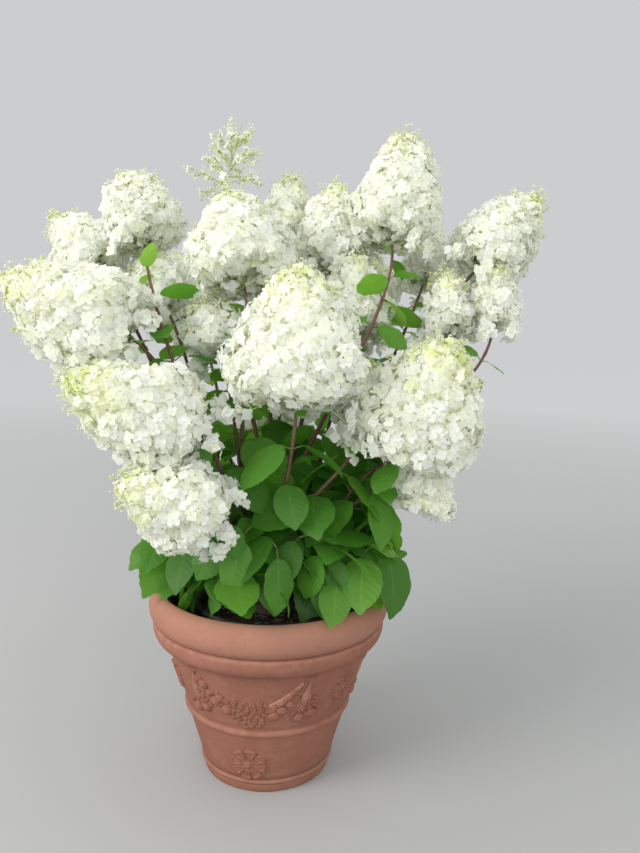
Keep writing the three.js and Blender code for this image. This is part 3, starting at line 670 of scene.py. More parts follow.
@dataclass
class Planter:
    """The terracotta planter: a thick lathed wall with beads and a rolled rim, in millimetres.

    A pair is a radius and a height.

    Attributes:
        collar_room: Above this height leaves stay out of this radius.
        inner_room: Heights, and the inner wall's radii there.
        liner: The nursery pot's inner and outer radius, with room for its lip.
    """

    foot_radius: float = 160.0
    body_foot: Pair = (166.0, 38.0)
    waist: Pair = (203.0, 166.0)
    above_waist: Pair = (206.5, 188.0)
    shoulder: Pair = (258.0, 343.0)
    collar: Pair = (290.0, 384.0)
    rim_centre: Pair = (270.0, 430.0)
    rim_reach: Pair = (30.0, 40.0)
    lip_radius: float = 263.0
    inner_top: Pair = (252.0, 408.0)
    inner_foot: Pair = (144.4, 25.0)
    floor_step: float = 40.0
    segments: int = 192
    leaf_gap: float = 14.0
    collar_room: Pair = (293.0, 345.0)
    rim_room: Pair = (303.0, 395.0)
    rim_top: float = 473.0
    inner_room: tuple[tuple, tuple] = ((25, 408, 440, 470), (144.0, 251.0, 258.0, 262.0))
    compost_top: float = 414.0
    liner: Pair = (170.0, 190.0)
    liner_top: float = 437.0

    def wall(self, height: Array) -> Array:
        """Returns the outer wall's radius at a height, beads and rim left out."""
        low = np.interp(height, [self.body_foot[1], self.waist[1]], [self.body_foot[0], self.waist[0]])
        upper = [self.above_waist[1], self.shoulder[1]], [self.above_waist[0], self.shoulder[0]]
        middle = (self.waist[1] + self.above_waist[1]) / 2
        return np.where(height < middle, low, np.interp(height, *upper))

    @staticmethod
    def _steps(base: Pair, *shifts: Pair) -> list[Pair]:
        """Returns points, each at a shift out and up from a base point."""
        return [(base[0] + out, base[1] + up) for out, up in shifts]

    @staticmethod
    def _arc(base: Pair, shift: Pair, reach: Pair, ends: Pair, steps: int) -> list[Pair]:
        """Returns part of an ellipse.

        Args:
            base: A point of the section.
            shift: How far out and up from it the ellipse's middle is.
            reach: Its half width and half height.
            ends: The angles it runs between, in degrees from outward.
            steps: How many points there are.
        """
        x, y = base[0] + shift[0], base[1] + shift[1]
        turns = np.radians(np.linspace(*ends, steps))
        return [(x + reach[0] * math.cos(t), y + reach[1] * math.sin(t)) for t in turns]

    @staticmethod
    def _line(start: Pair, end: Pair, steps: int) -> list[Pair]:
        """Returns even points on a straight line."""
        return [tuple(point) for point in np.linspace(start, end, steps)]

    def profile(self) -> Array:
        """Returns the wall's section, from the middle of the underside round to the inner floor."""
        foot, lip = (self.foot_radius, 0.0), (self.lip_radius, self.rim_centre[1] + self.rim_reach[1])
        points = [(0.0, 0.0), *self._steps(foot, (-30, 0), (-5, 0), (-1.6, 0.9), (0, 4), (2.6, 13))]
        points += self._steps(foot, (4.4, 22), (3.4, 24.2))
        points += self._arc(foot, (3.6, 30.2), (5.2, 5.6), (-82, 82), 9)
        points += self._steps(foot, (3.4, 36.4))
        points += self._line(self.body_foot, self.waist, 10)
        points += self._steps(self.waist, (0.2, 1.2))
        points += self._arc(self.waist, (1.2, 10.6), (7.6, 8.8), (-84, 84), 13)
        points += self._line(self.above_waist, self.shoulder, 13)
        points += self._steps(self.shoulder, (3.5, 1.6), (8.6, 2.6))
        points += self._arc(self.shoulder, (4, 37), (28.0, 34.0), (-74, 0), 12)
        step_in = (0, 0), (-0.4, 4), (-2, 7.4), (-5.4, 9.4), (-9, 10.6), (-9.8, 12.4)
        points += self._steps(self.collar, *step_in)
        points += self._arc(self.rim_centre, (0, 0), self.rim_reach, (-62, 88), 32)
        points += self._steps(lip, (5, -0.2), (3.6, -1.2), (3.2, -3), (2, -3.6), (0.6, -4.6), (-0.6, -7.5))
        points += self._steps(lip, (-2.4, -22), (-6, -42))
        points += self._line(self.inner_top, self.inner_foot, 14)
        points += self._steps(self.inner_foot, (-self.floor_step, 0), (-self.inner_foot[0], 0))
        return np.array(points)

    def hits(self, points: Array) -> bool:
        """Tells whether any of a leaf's points is in the wall, the nursery pot's lip or the compost."""
        radius, height = np.hypot(points[:, 0], points[:, 1]), points[:, 2]
        outer = self.wall(height) + self.leaf_gap
        for room_radius, room_height in (self.collar_room, self.rim_room):
            outer = np.where(height > room_height, room_radius, outer)
        inner = np.interp(height, *self.inner_room)
        in_wall = (height < self.rim_top) & (radius < outer) & (radius > inner - 2)
        in_compost = (height < self.compost_top) & (radius <= inner)
        in_liner = (height < self.liner_top) & (radius > self.liner[0]) & (radius < self.liner[1])
        return bool((in_wall | in_compost | in_liner).any())

    def build(self) -> None:
        """Builds and dresses the wall, a little out of round as hand-thrown clay is."""
        section = self.profile()
        turns = circle(self.segments)
        uneven = 0.5 * np.sin(3 * turns + 1.0) + 0.3 * np.sin(7 * turns)
        radius = section[:, :1] + uneven * (section[:, :1] > 100)
        batch = MeshBatch()
        batch.add_grid(about_axis(radius, turns, section[:, 1:]), closed=True)
        keep(batch.make("planter_wall", [Terracotta().make()]), "terracotta", "planter")


@dataclass
class Festoons:
    """The planter's low relief: swags tied up between drops, and rosettes, in millimetres.

    Azimuths are in degrees. A fruit on a swag has its share along it, how far it is below, and its
    size. What is on a drop has how far it is aside and down, and its thickness, size or lean.
    """

    planter: Planter
    repeats: int = 3
    first_swag: float = -100.5
    first_low_rosette: float = -104.0
    low_rosette: Pair = (47.0, 81.0)
    high_rosette: Pair = (36.0, 268.0)
    petals: int = 8
    beads: int = 12
    bead_ring: float = 0.3
    swag_half_angle: float = 33.5
    swag_end_height: float = 321.0
    swag_sag: float = 86.0
    blossoms: int = 50
    blossom_radius: Pair = (7.6, 9.6)
    blossom_rise: Pair = (3.9, 5.2)
    cluster_reach: Pair = (64.0, 41.0)
    fruit_radius: float = 14.0
    left_fruits: tuple[Point, ...] = (
        (0.42, -13, 1.0), (0.53, 8, 0.9), (0.62, -11, 0.95), (0.73, -6, 0.7), (0.82, 3, 0.95), (0.93, -4, 0.6)
    )
    right_fruits: tuple[Point, ...] = (
        (0.43, -20, 1.0), (0.56, -16, 0.95), (0.69, -14, 0.75), (0.8, -11, 0.5)
    )
    ear_ribs: tuple[Point, ...] = (
        (-25, 78, 3.6), (-18, 90, 4.4), (-10, 92, 4.4), (-3, 84, 3.6), (10, 88, 2.8)
    )
    drop_blossoms: tuple[Pair, ...] = ((14, 62), (22, 72), (10, 78), (19, 52))
    drop_fruits: tuple[Point, ...] = ((-16, 102, 1.0), (16, 94, 0.95))
    drop_leaves: tuple[Point, ...] = ((-32, 88, -0.5), (1, 100, 0.0), (32, 82, 0.5))
    rise: float = 5.2

    def __post_init__(self) -> None:
        """Starts the mesh and its seeded numbers."""
        self._batch = MeshBatch()
        self._random = np.random.default_rng(11)

    def _wall_at(self, height: float) -> float:
        """Returns the wall's radius at one height."""
        return float(self.planter.wall(np.array(height)))

    def _degrees_per_mm(self, height: float) -> float:
        """Returns how many degrees a millimetre along the wall is at a height."""
        return math.degrees(1 / self._wall_at(height))

    def _lay(self, across: Array, up: Array, out: Array, azimuth: float, height: float) -> Array:
        """Returns flat points, across, up and out, laid on the wall about an azimuth and a height."""
        z = height + up
        around = math.radians(azimuth) + across / self._wall_at(height)
        return about_axis(self.planter.wall(z) + out, around, z)

    def _boss(
        self,
        azimuth: float,
        height: float,
        reach: Pair,
        spin: float,
        outline: Callable[[Array], Array],
        swell: Callable[[Array, Array], Array],
        rise: float,
        rings: int = 6,
        spokes: int = 20,
    ) -> None:
        """Adds one raised form, whose edge is sunk in the wall.

        Args:
            azimuth: Where its middle is.
            height: How high its middle is.
            reach: Its half length and half width.
            spin: How far it is turned on the wall, in radians.
            outline: Its edge as a share of its reach, for angles.
            swell: Its height as a share of the rise, for shares of its reach and angles.
            rise: How far it stands out.
            rings: How many rings of faces it has.
            spokes: How many faces are in each.
        """
        turns = circle(spokes)[None, :]
        shares = np.append(np.linspace(0.0, 0.94, rings), 1.0)[:, None]
        x = shares * outline(turns) * reach[0] * np.cos(turns)
        y = shares * outline(turns) * reach[1] * np.sin(turns)
        out = np.where(shares < 1, swell(shares, turns) * rise, -1.2) * np.ones_like(turns)
        across = x * math.cos(spin) - y * math.sin(spin)
        up = x * math.sin(spin) + y * math.cos(spin)
        self._batch.add_grid(self._lay(across, up, out, azimuth, height), closed=True)

    def _fruit(self, azimuth: float, height: float, radius: float) -> None:
        """Adds a round fruit with a dimple."""

        def outline(turns: Array) -> Array:
            """Returns the edge, a little out of round."""
            return 1 + 0.03 * np.cos(2 * turns)

        def swell(share: Array, turns: Array) -> Array:
            """Returns the height: a dome with a dimple."""
            return np.sqrt(1 - share**2) - 0.25 * np.exp(-((share / 0.16) ** 2))

        self._boss(azimuth, height, (radius, radius), 0.0, outline, swell, radius * 0.72, rings=9)

    def _blossom(self, azimuth: float, height: float, radius: float) -> None:
        """Adds a small five-petalled flower."""

        def outline(turns: Array) -> Array:
            """Returns the edge of five round petals."""
            return 0.78 + 0.22 * np.abs(np.cos(2.5 * turns))

        def swell(share: Array, turns: Array) -> Array:
            """Returns the height: cupped petals and a raised middle."""
            petal = 0.75 * np.sin(math.pi * np.clip(share, 0, 1)) * np.abs(np.cos(2.5 * turns)) ** 0.7
            return 0.4 + petal + 0.6 * (share < 0.12)

        spin = self._random.uniform(0, 2 * math.pi)
        rise = self._random.uniform(*self.blossom_rise)
        self._boss(azimuth, height, (radius, radius), spin, outline, swell, rise, rings=7)

    def _leaf(self, azimuth: float, height: float, reach: Pair, spin: float) -> None:
        """Adds a pointed leaf with a sunk midrib."""

        def outline(turns: Array) -> Array:
            """Returns the edge, drawn out to two points."""
            return 1 - 0.45 * np.abs(np.cos(turns)) ** 2 * np.abs(np.sin(turns)) ** 0.5

        def swell(share: Array, turns: Array) -> Array:
            """Returns the height: two rounded halves beside the midrib."""
            return (1 - share**3) * (0.4 + 0.6 * np.abs(np.sin(turns)) ** 0.6) + 0.1

        self._boss(azimuth, height, reach, spin, outline, swell, self.rise)

    def _strand(self, stations: Array, azimuth: float, radii: Array) -> None:
        """Adds a rib on the wall through points across and up from the tie line at an azimuth."""
        path = self._lay(stations[:, 0], stations[:, 1], radii * 0.15, azimuth, self.swag_end_height)
        self._batch.add_tube(path, radii, 8)

    def _swag_point(self, along: Array) -> tuple[Array, Array]:
        """Returns how far across and up from its middle tie line a swag is, for -1 to 1 along it."""
        radius = self._wall_at(self.swag_end_height - self.swag_sag)
        return along * math.radians(self.swag_half_angle) * radius, -self.swag_sag * (1 - along**2)

    def _swag(self, middle: float) -> None:
        """Adds a swag: small flowers, fruit and leaves beside them, and tied ribs on one side."""
        low = self.swag_end_height - self.swag_sag
        scale = self._degrees_per_mm(low)
        for i in range(self.blossoms):
            share = math.sqrt((i + 0.5) / self.blossoms)
            turn = i * GOLDEN_ANGLE
            x = self.cluster_reach[0] * share * math.cos(turn)
            y = self.cluster_reach[1] * share * math.sin(turn) * (0.8 if math.sin(turn) > 0 else 1.0)
            radius = self._random.uniform(*self.blossom_radius)
            self._blossom(middle + x * scale, low + y + 0.004 * x * x, radius)
        for side, fruits in (-1, self.left_fruits), (1, self.right_fruits):
            for along, below, size in fruits:
                x, y = (float(value) for value in self._swag_point(np.array(side * along)))
                azimuth, line = middle + x * scale, self.swag_end_height + y
                self._fruit(azimuth, line + below, self.fruit_radius * size)
                lean = side * math.atan2(self.swag_sag * 2 * along, 135)
                for k, (shift, spread) in enumerate(((15, 0.75), (-14, -0.7))):
                    height = line + below * 0.3 + shift
                    turn = lean + side * spread + (0 if side > 0 else math.pi)
                    self._leaf(azimuth + side * (2 + k) * 0.6, height, (17 * size, 7.5 * size), turn)
        along = np.linspace(0.99, 0.36, 14)
        x, line = self._swag_point(along)
        radii = np.interp(along, [0.36, 0.6, 0.99], [3.4, 4.4, 2.6])
        for rib in range(3):
            y = line + (11 * rib - 3) * (1 - along) ** 0.6
            self._strand(np.stack([x, y], axis=-1), middle, radii)

    def _drop(self, azimuth: float) -> None:
        """Adds what hangs from a tie: an ear of ribs beside a stalk with flowers, over two fruits."""
        top = self.swag_end_height
        scale = self._degrees_per_mm(top - 60)
        fall = np.linspace(0, 1, 12)
        for end, drop, thick in self.ear_ribs:
            stations = np.stack([end * fall**1.5, 8 - drop * fall], axis=-1)
            self._strand(stations, azimuth, thick * np.interp(fall, [0, 0.65, 1], [0.45, 1.0, 0.5]))
        for x, drop in self.drop_blossoms:
            self._blossom(azimuth + x * scale, top - drop, 7.0)
        for x, drop, size in self.drop_fruits:
            self._fruit(azimuth + x * scale, top - drop, self.fruit_radius * size)
        for x, drop, lean in self.drop_leaves:
            self._leaf(azimuth + x * scale, top - drop, (12, 6), lean - math.pi / 2)
        for side, spin in (-1, math.pi - 0.6), (1, 0.6):
            self._leaf(azimuth + side * 7 * scale, top + 7, (11, 6), spin)
        self._fruit(azimuth, top + 4, 6.5)

    def _rosette(self, azimuth: float, radius: float, height: float) -> None:
        """Adds a round flower: separate petals with raised edges round a beaded middle."""

        def phase(turns: Array) -> Array:
            """Returns 0 on a petal's middle line and 1 between petals."""
            return np.abs(((turns * self.petals / (2 * math.pi)) % 1) - 0.5) * 2

        def outline(turns: Array) -> Array:
            """Returns the edge, rounded on each petal and drawn in between them."""
            return 1 - 0.3 * phase(turns) ** 7

        def swell(share: Array, turns: Array) -> Array:
            """Returns the height: cupped petals with raised edges and a rib, and a boss in the middle."""
            part = phase(turns)
            end = np.exp(-(((share - 0.86) / 0.08) ** 2))
            sides = np.exp(-(((part - 0.68) / 0.13) ** 2)) * (share > 0.4)
            rib = 0.5 * np.exp(-((part / 0.14) ** 2)) * (share > 0.34) * (share < 0.76)
            gap = 1 - 0.9 * np.clip((part - 0.8) / 0.2, 0, 1) * np.clip((share - 0.3) / 0.15, 0, 1)
            petal = (0.42 + 0.62 * np.maximum(np.maximum(end, sides), rib)) * gap * (share > 0.22)
            boss = 1.15 * np.sqrt(np.maximum(0, 1 - (share / 0.22) ** 2))
            return petal + boss + 0.06

        reach, spokes = (radius, radius), self.petals * 16
        self._boss(azimuth, height, reach, 0.2, outline, swell, self.rise, rings=20, spokes=spokes)
        scale, ring = self._degrees_per_mm(height), self.bead_ring * radius
        for i in range(self.beads):
            turn = i * 2 * math.pi / self.beads
            self._fruit(azimuth + ring * math.cos(turn) * scale, height + ring * math.sin(turn), 3.0)

    def build(self) -> None:
        """Builds and dresses the relief."""
        for k in range(self.repeats):
            turn = 360 / self.repeats * k
            middle = self.first_swag + turn
            self._swag(middle)
            self._drop(middle + self.swag_half_angle)
            self._drop(middle - self.swag_half_angle)
            self._rosette(self.first_low_rosette + turn, *self.low_rosette)
            self._rosette(middle + 180 / self.repeats, *self.high_rosette)
        keep(self._batch.make("planter_festoons", [Terracotta().make()]), "terracotta")


@dataclass
class NurseryPot:
    """The plain pot that stands inside the planter, with a rolled lip, in millimetres."""

    foot: Pair = (148.0, 140.3)
    top: Pair = (178.0, 435.0)
    lip: float = 8.0
    wall: float = 3.0
    ribs: int = 24
    segments: int = 120

    def build(self) -> None:
        """Builds and dresses the pot."""
        (radius, foot), (rim, top) = self.foot, self.top
        outer = [(0, foot), (radius - 8, foot), (radius, foot + 6), (rim - 1.4, top - 16)]
        lip = [(rim + 4, top - 15), (rim + self.lip, top - 13), (rim + self.lip, top - 3)]
        lip += [(rim + self.lip - 2.4, top), (rim + 1.5, top - 0.4), (rim - self.wall, top - 3)]
        inner = [(rim - self.wall - 3, top - 26), (radius - self.wall, foot + 8), (0, foot + 4)]
        section = np.array(outer + lip + inner)
        turns = circle(self.segments)
        rings = section[:, :1] + 0.5 * np.cos(self.ribs * turns) * (section[:, :1] > 50)
        batch = MeshBatch()
        batch.add_grid(about_axis(rings, turns, section[:, 1:]), closed=True)
        keep(batch.make("nursery_pot_shell", [PotPlastic().make()]), "nursery_pot", "nursery_pot")


@dataclass
class Compost:
    """Lumpy compost in the nursery pot, strewn with chips of bark, in millimetres."""

    top: float = 412.0
    radius: float = 171.0
    depth: float = 30.0
    hollow_edge: float = 22.0
    chips: int = 620
    chip_length: Pair = (6.0, 26.0)
    chip_thickness: Pair = (1.2, 3.6)

    def _surface(self, x: Array, y: Array) -> Array:
        """Returns the height of the compost at points across it."""
        lumps = 2.6 * np.sin(x / 11 + np.sin(y / 17)) * np.cos(y / 13)
        lumps = lumps + 1.6 * np.sin(x / 5.3) * np.sin(y / 4.7)
        edge = np.clip((np.hypot(x, y) - self.radius + self.hollow_edge) / self.hollow_edge, 0, 1)
        return self.top + lumps - 4 - 7 * edge**2

    def build(self) -> None:
        """Builds and dresses the compost and its chips."""
        radii, turns = np.linspace(0, self.radius, 46)[:, None], circle(150)[None, :]
        x, y = radii * np.cos(turns), radii * np.sin(turns)
        top = np.stack([x, y, self._surface(x, y)], axis=-1)
        skirt = top[-1:] - UP * self.depth
        batch = MeshBatch()
        batch.add_grid(np.concatenate([top, skirt]), closed=True)
        keep(batch.make("compost_surface", [Earth().make()]), "compost", "compost")
        self._chips()

    def _chips(self) -> None:
        """Strews chips of bark over the compost."""
        random = np.random.default_rng(5)
        batch = MeshBatch()
        corners = np.array([[x, y, z] for z in (-1, 1) for y in (-1, 1) for x in (-1, 1)], float)
        faces = np.array([[0, 2, 3, 1], [4, 5, 7, 6], [0, 1, 5, 4], [2, 6, 7, 3], [0, 4, 6, 2], [1, 3, 7, 5]])
        for _ in range(self.chips):
            radius, turn = self.radius * math.sqrt(random.random()), random.uniform(0, 2 * math.pi)
            x, y = radius * math.cos(turn) * 0.97, radius * math.sin(turn) * 0.97
            length = random.uniform(*self.chip_length) * random.uniform(0.5, 1.0)
            width, thickness = length * random.uniform(0.25, 0.5), random.uniform(*self.chip_thickness)
            half = np.array([length, width, thickness]) / 2
            aim = unit(np.array([random.normal(0, 0.3), random.normal(0, 0.3), 1.0]))
            spin = Matrix.Rotation(random.uniform(0, 2 * math.pi), 3, "Z")
            shape = corners * half * random.uniform(0.65, 1.1, (8, 3))
            place = shape @ np.array(spin).T @ upright_to(aim[None])[0].T
            height = float(self._surface(np.array(x), np.array(y))) + half[2]
            batch.add(place + np.array([x, y, height]), faces, int(random.integers(0, 3)))
        finishes = [
            Bark("chip_dark", (0.030, 0.018, 0.012), (0.085, 0.050, 0.032), flecked=0.1).make(),
            Bark("chip_brown", (0.090, 0.045, 0.025), (0.20, 0.11, 0.065), flecked=0.1).make(),
            Bark("chip_grey", (0.080, 0.066, 0.055), (0.22, 0.19, 0.16), flecked=0.1).make(),
        ]
        keep(batch.make("bark_chips", finishes), "compost")


# The shrub's limbs


@dataclass(frozen=True)
class Shoot:
    """One shoot: its head, where its panicle aims, the panicle's length and width, and how leafy it is.

    Attributes:
        open_tip: How much greener the panicle's tip is than usual. Below zero it is white to the end.
        bow: How far the shoot is pulled aside on its way, along X and Y.
    """

    name: str
    head: Point
    aim: Pair
    size: Pair
    leafy: float
    lacy: bool = False
    open_tip: float = 0.0
    bow: Pair = (0.0, 0.0)


@dataclass(frozen=True)
class Cane:
    """One cane: where its tip forks, as azimuth, radius and height, and its shoots.

    Attributes:
        root_radius: The most that its root is out from the stool's axis.
        leaving: Its elevation at the root, in degrees.
        arriving: Its elevation at the fork, in degrees.
        bowed: How much of a shoot's bow each corner of its curve takes.
    """

    name: str
    fork: Point
    shoots: tuple[Shoot, ...]
    root_radius: float = 30.0
    root_height: float = 436.8
    leaving: float = 50.0
    arriving: float = 68.0
    bowed: Row = (0, 0.55, 1, 0)

    def tip(self) -> Array:
        """Returns where it forks."""
        return on_circle(*self.fork)

    def heading(self) -> Array:
        """Returns the unit vector along it at the fork."""
        return direction(self.fork[0], self.arriving)

    def way(self) -> Way:
        """Returns the curve from the stool to the fork."""
        azimuth, radius, _ = self.fork
        root = on_circle(azimuth, min(self.root_radius, radius * 0.45), self.root_height)
        return Way.between(root, direction(azimuth, self.leaving), self.heading(), self.tip(), (0.35, 0.35))

    def shoot_way(self, shoot: Shoot) -> Way:
        """Returns the curve from the fork to a shoot's head."""
        head = np.array(shoot.head, float)
        way = Way.between(self.tip(), self.heading(), direction(*shoot.aim), head, (0.36, 0.26))
        return Way(way.corners + np.outer(self.bowed, (*shoot.bow, 0)))


CANES = (
    Cane("left_outer", (-168, 105, 560), (
        Shoot("left_outer", (-330, -125, 1085), (-160, 25), (285, 262), 0.25, open_tip=0.5),
        Shoot("left_upper", (-425, 60, 1240), (148, 44), (200, 170), 0.3),
    )),
    Cane("left_front", (-128, 120, 545), (
        Shoot("left_middle", (-168, -225, 882), (-155, 25), (305, 228), 0.5, open_tip=0.3),
        Shoot("left_lower", (-117, -287, 716), (-157, 24), (228, 194), 0.9),
    )),
    Cane("left_back", (160, 75, 575), (
        Shoot("upper_left", (-320, 70, 1305), (115, 58), (225, 205), 0.35, bow=(15, -235)),
        Shoot("left_inner", (-258, 40, 1145), (150, 62), (165, 150), 0.3),
    )),
    Cane("centre_left", (-150, 40, 600), (
        Shoot("centre_left", (-70, -40, 1205), (112, 66), (255, 272), 0.5),
        Shoot("small_left", (-125, -50, 1050), (150, 66), (150, 150), 0.35),
    )),
    Cane("front_centre", (-84, 115, 570), (
        Shoot("front_centre", (50, -265, 955), (70, 86), (300, 295), 1.0),
        Shoot("front_inner", (205, -150, 880), (40, 72), (170, 160), 0.9),
    )),
    Cane("right_front", (-38, 125, 560), (
        Shoot("right_front", (300, -190, 850), (-55, 64), (285, 285), 1.0, open_tip=0.4),
        Shoot("right_low", (305, -140, 800), (-32, -38), (165, 140), 0.9, open_tip=-2.0),
    )),
    Cane("right", (2, 100, 580), (
        Shoot("right_middle", (365, 10, 985), (40, 66), (170, 160), 0.8),
        Shoot("inner_right", (205, 20, 1095), (100, 75), (225, 182), 0.7),
        Shoot("right_between", (428, -15, 1115), (110, 78), (155, 128), 0.6),
    )),
    Cane("right_outer", (22, 120, 570), (
        Shoot("right_outer", (500, 60, 1266), (18, 48), (272, 205), 0.6, open_tip=0.5),
        Shoot("right_under", (535, -5, 1125), (70, 82), (165, 132), 0.6),
        Shoot("right_rear", (400, 215, 1235), (60, 50), (190, 160), 0.6),
    )),
    Cane("upper_right", (62, 52, 620), (
        Shoot("upper_centre", (288, 60, 1325), (66, 70), (312, 236), 0.8, bow=(10, -230)),
        Shoot("upper_inner", (142, 130, 1262), (75, 74), (240, 200), 0.6),
    )),
    Cane("top", (95, 48, 600), (
        Shoot("top_lacy", (-142, 150, 1425), (40, 72), (222, 185), 0.5, lacy=True),
        Shoot("upper_middle", (22, 225, 1330), (70, 72), (205, 150), 0.6, open_tip=0.6),
    )),
    Cane("rear_left", (128, 110, 560), (
        Shoot("rear_left_low", (-300, 240, 850), (150, 28), (260, 220), 0.8),
        Shoot("rear_left_high", (-210, 280, 1110), (128, 48), (260, 220), 0.7),
    )),
    Cane("rear", (88, 125, 550), (
        Shoot("rear_low", (10, 300, 770), (95, 25), (240, 210), 0.9),
        Shoot("rear_middle", (30, 330, 1050), (88, 46), (270, 230), 0.8),
    )),
    Cane("rear_right", (48, 118, 565), (
        Shoot("rear_right_low", (310, 230, 800), (38, 26), (250, 215), 0.9),
        Shoot("rear_right_high", (235, 320, 1120), (62, 50), (250, 215), 0.7),
    )),
)


class Wood(IntEnum):
    """The barks, in the order of a wood piece's finishes."""

    OLD = 0
    RED = 1
    YOUNG = 2


def joint_swell(shares: Array, spacings: float, width: float) -> Array:
    """Returns 1 at a stem's joints and less beside them, for shares of a stem some spacings long."""
    return np.exp(-(((shares * spacings) % 1 - 0.5) / width) ** 2)


def wood_finishes() -> list[Material]:
    """Returns the barks in the order of Wood."""
    return [
        Bark("bark_old", (0.090, 0.052, 0.034), (0.25, 0.165, 0.115), roughness=0.75, depth=0.002).make(),
        Bark("bark_red", (0.070, 0.032, 0.021), (0.178, 0.088, 0.057), flecked=0.22).make(),
        Bark("bark_young", (0.085, 0.042, 0.024), (0.18, 0.10, 0.055), flecked=0.1, depth=0.0006).make(),
    ]


@dataclass
class WoodyStool:
    """The shrub's short woody foot, from which the canes rise, in millimetres."""

    foot: float = 412.3
    flare: float = 66.0
    radius: float = 52.0
    height: float = 62.0
    segments: int = 90
    rows: int = 34

    def build(self) -> None:
        """Builds and dresses the stool."""
        rise, turns = np.linspace(0, 1, self.rows)[:, None], circle(self.segments)[None, :]
        body = self.radius + (self.flare - self.radius) * np.exp(-rise * 7)
        domed = body * np.sqrt(np.clip(1 - np.clip((rise - 0.42) / 0.58, 0, 1) ** 2, 0, 1))
        knobs = 1 + 0.10 * np.sin(5 * turns + 3 * rise) * np.sin(4 * rise * math.pi)
        knobs = knobs + 0.04 * np.sin(19 * turns + 6 * rise)
        height = self.foot + rise * self.height * (1 + 0.05 * np.sin(3 * turns) * rise)
        batch = MeshBatch()
        batch.add_grid(about_axis(domed * knobs * 0.96, turns, height), closed=True, slot=Wood.OLD)
        keep(batch.make("stool_bark", wood_finishes()), "bark", "woody_stool")


@dataclass
class CaneBark:
    """The bark of one cane: a tapering limb with a broad foot and swollen joints, in millimetres."""

    cane: Cane
    foot_radius: float = 8.5
    fork_radius: float = 6.0
    foot_swell: float = 5.0
    joint_gap: float = 62.0
    knuckle: float = 1.3
    rows: int = 48
    sides: int = 12

    def build(self) -> None:
        """Builds and dresses the cane."""
        way, name = self.cane.way(), self.cane.name
        shares = np.linspace(0, 1, self.rows)
        random = np.random.default_rng(len(name) * 7)
        radii = self.foot_radius + (self.fork_radius - self.foot_radius) * shares
        radii = radii + self.foot_swell * np.exp(-shares * 14)
        radii = radii + self.knuckle * joint_swell(shares, way.length() / self.joint_gap, 0.09)
        rough = 1 + 0.035 * random.standard_normal((self.rows, self.sides))
        batch = MeshBatch()
        batch.add_tube(way.at(shares), radii[:, None] * rough, self.sides, Wood.OLD)
        keep(batch.make("bark_" + name, wood_finishes()), "bark", "cane_" + name)


# Leaves


class Tone(IntEnum):
    """The leaf colours, in the order of a leaf piece's finishes."""

    DEEP = 0
    MIDDLE = 1
    BRIGHT = 2
    YOUNG = 3
    YELLOW = 4


class Zone(Enum):
    """Where on a shoot a leaf grows: its usual length, how far it droops, and how its colours fall."""

    LOW = (160.0, 0.85, (0.27, 0.45, 0.26, 0.02, 0.0))
    MIDDLE = (126.0, 0.5, (0.10, 0.32, 0.41, 0.16, 0.01))
    HIGH = (92.0, 0.3, (0.02, 0.16, 0.42, 0.40, 0.0))

    def __init__(self, length: float, droop: float, tones: Row) -> None:
        """Keeps the zone's length, droop and share of each tone."""
        self.length = length
        self.droop = droop
        self.tones = tones


def leaf_finishes() -> list[Material]:
    """Returns the five leaf colours in the order of Tone, then their midribs, then the leaf stalks."""
    blades = (
        ("leaf_deep", (0.055, 0.168, 0.019), (0.18, 0.52, 0.04)),
        ("leaf_middle", (0.071, 0.208, 0.023), (0.24, 0.62, 0.05)),
        ("leaf_bright", (0.097, 0.262, 0.030), (0.32, 0.72, 0.06)),
        ("leaf_young", (0.190, 0.400, 0.058), (0.42, 0.76, 0.10)),
        ("leaf_yellow", (0.52, 0.34, 0.035), (0.60, 0.42, 0.06)),
    )
    made = [ThinTissue(*blade, through=0.38, specular=0.34) for blade in blades]
    for name, colour, glow in blades:
        pale = tuple(min(1.0, 1.35 * c + 0.006) for c in colour)
        made.append(ThinTissue(name + "_rib", pale, glow, through=0.2))
    made.append(ThinTissue("leaf_stalk", (0.125, 0.165, 0.050), (0.2, 0.3, 0.08), through=0.1))
    return [finish.make() for finish in made]


STALK_SLOT = 2 * len(Tone)


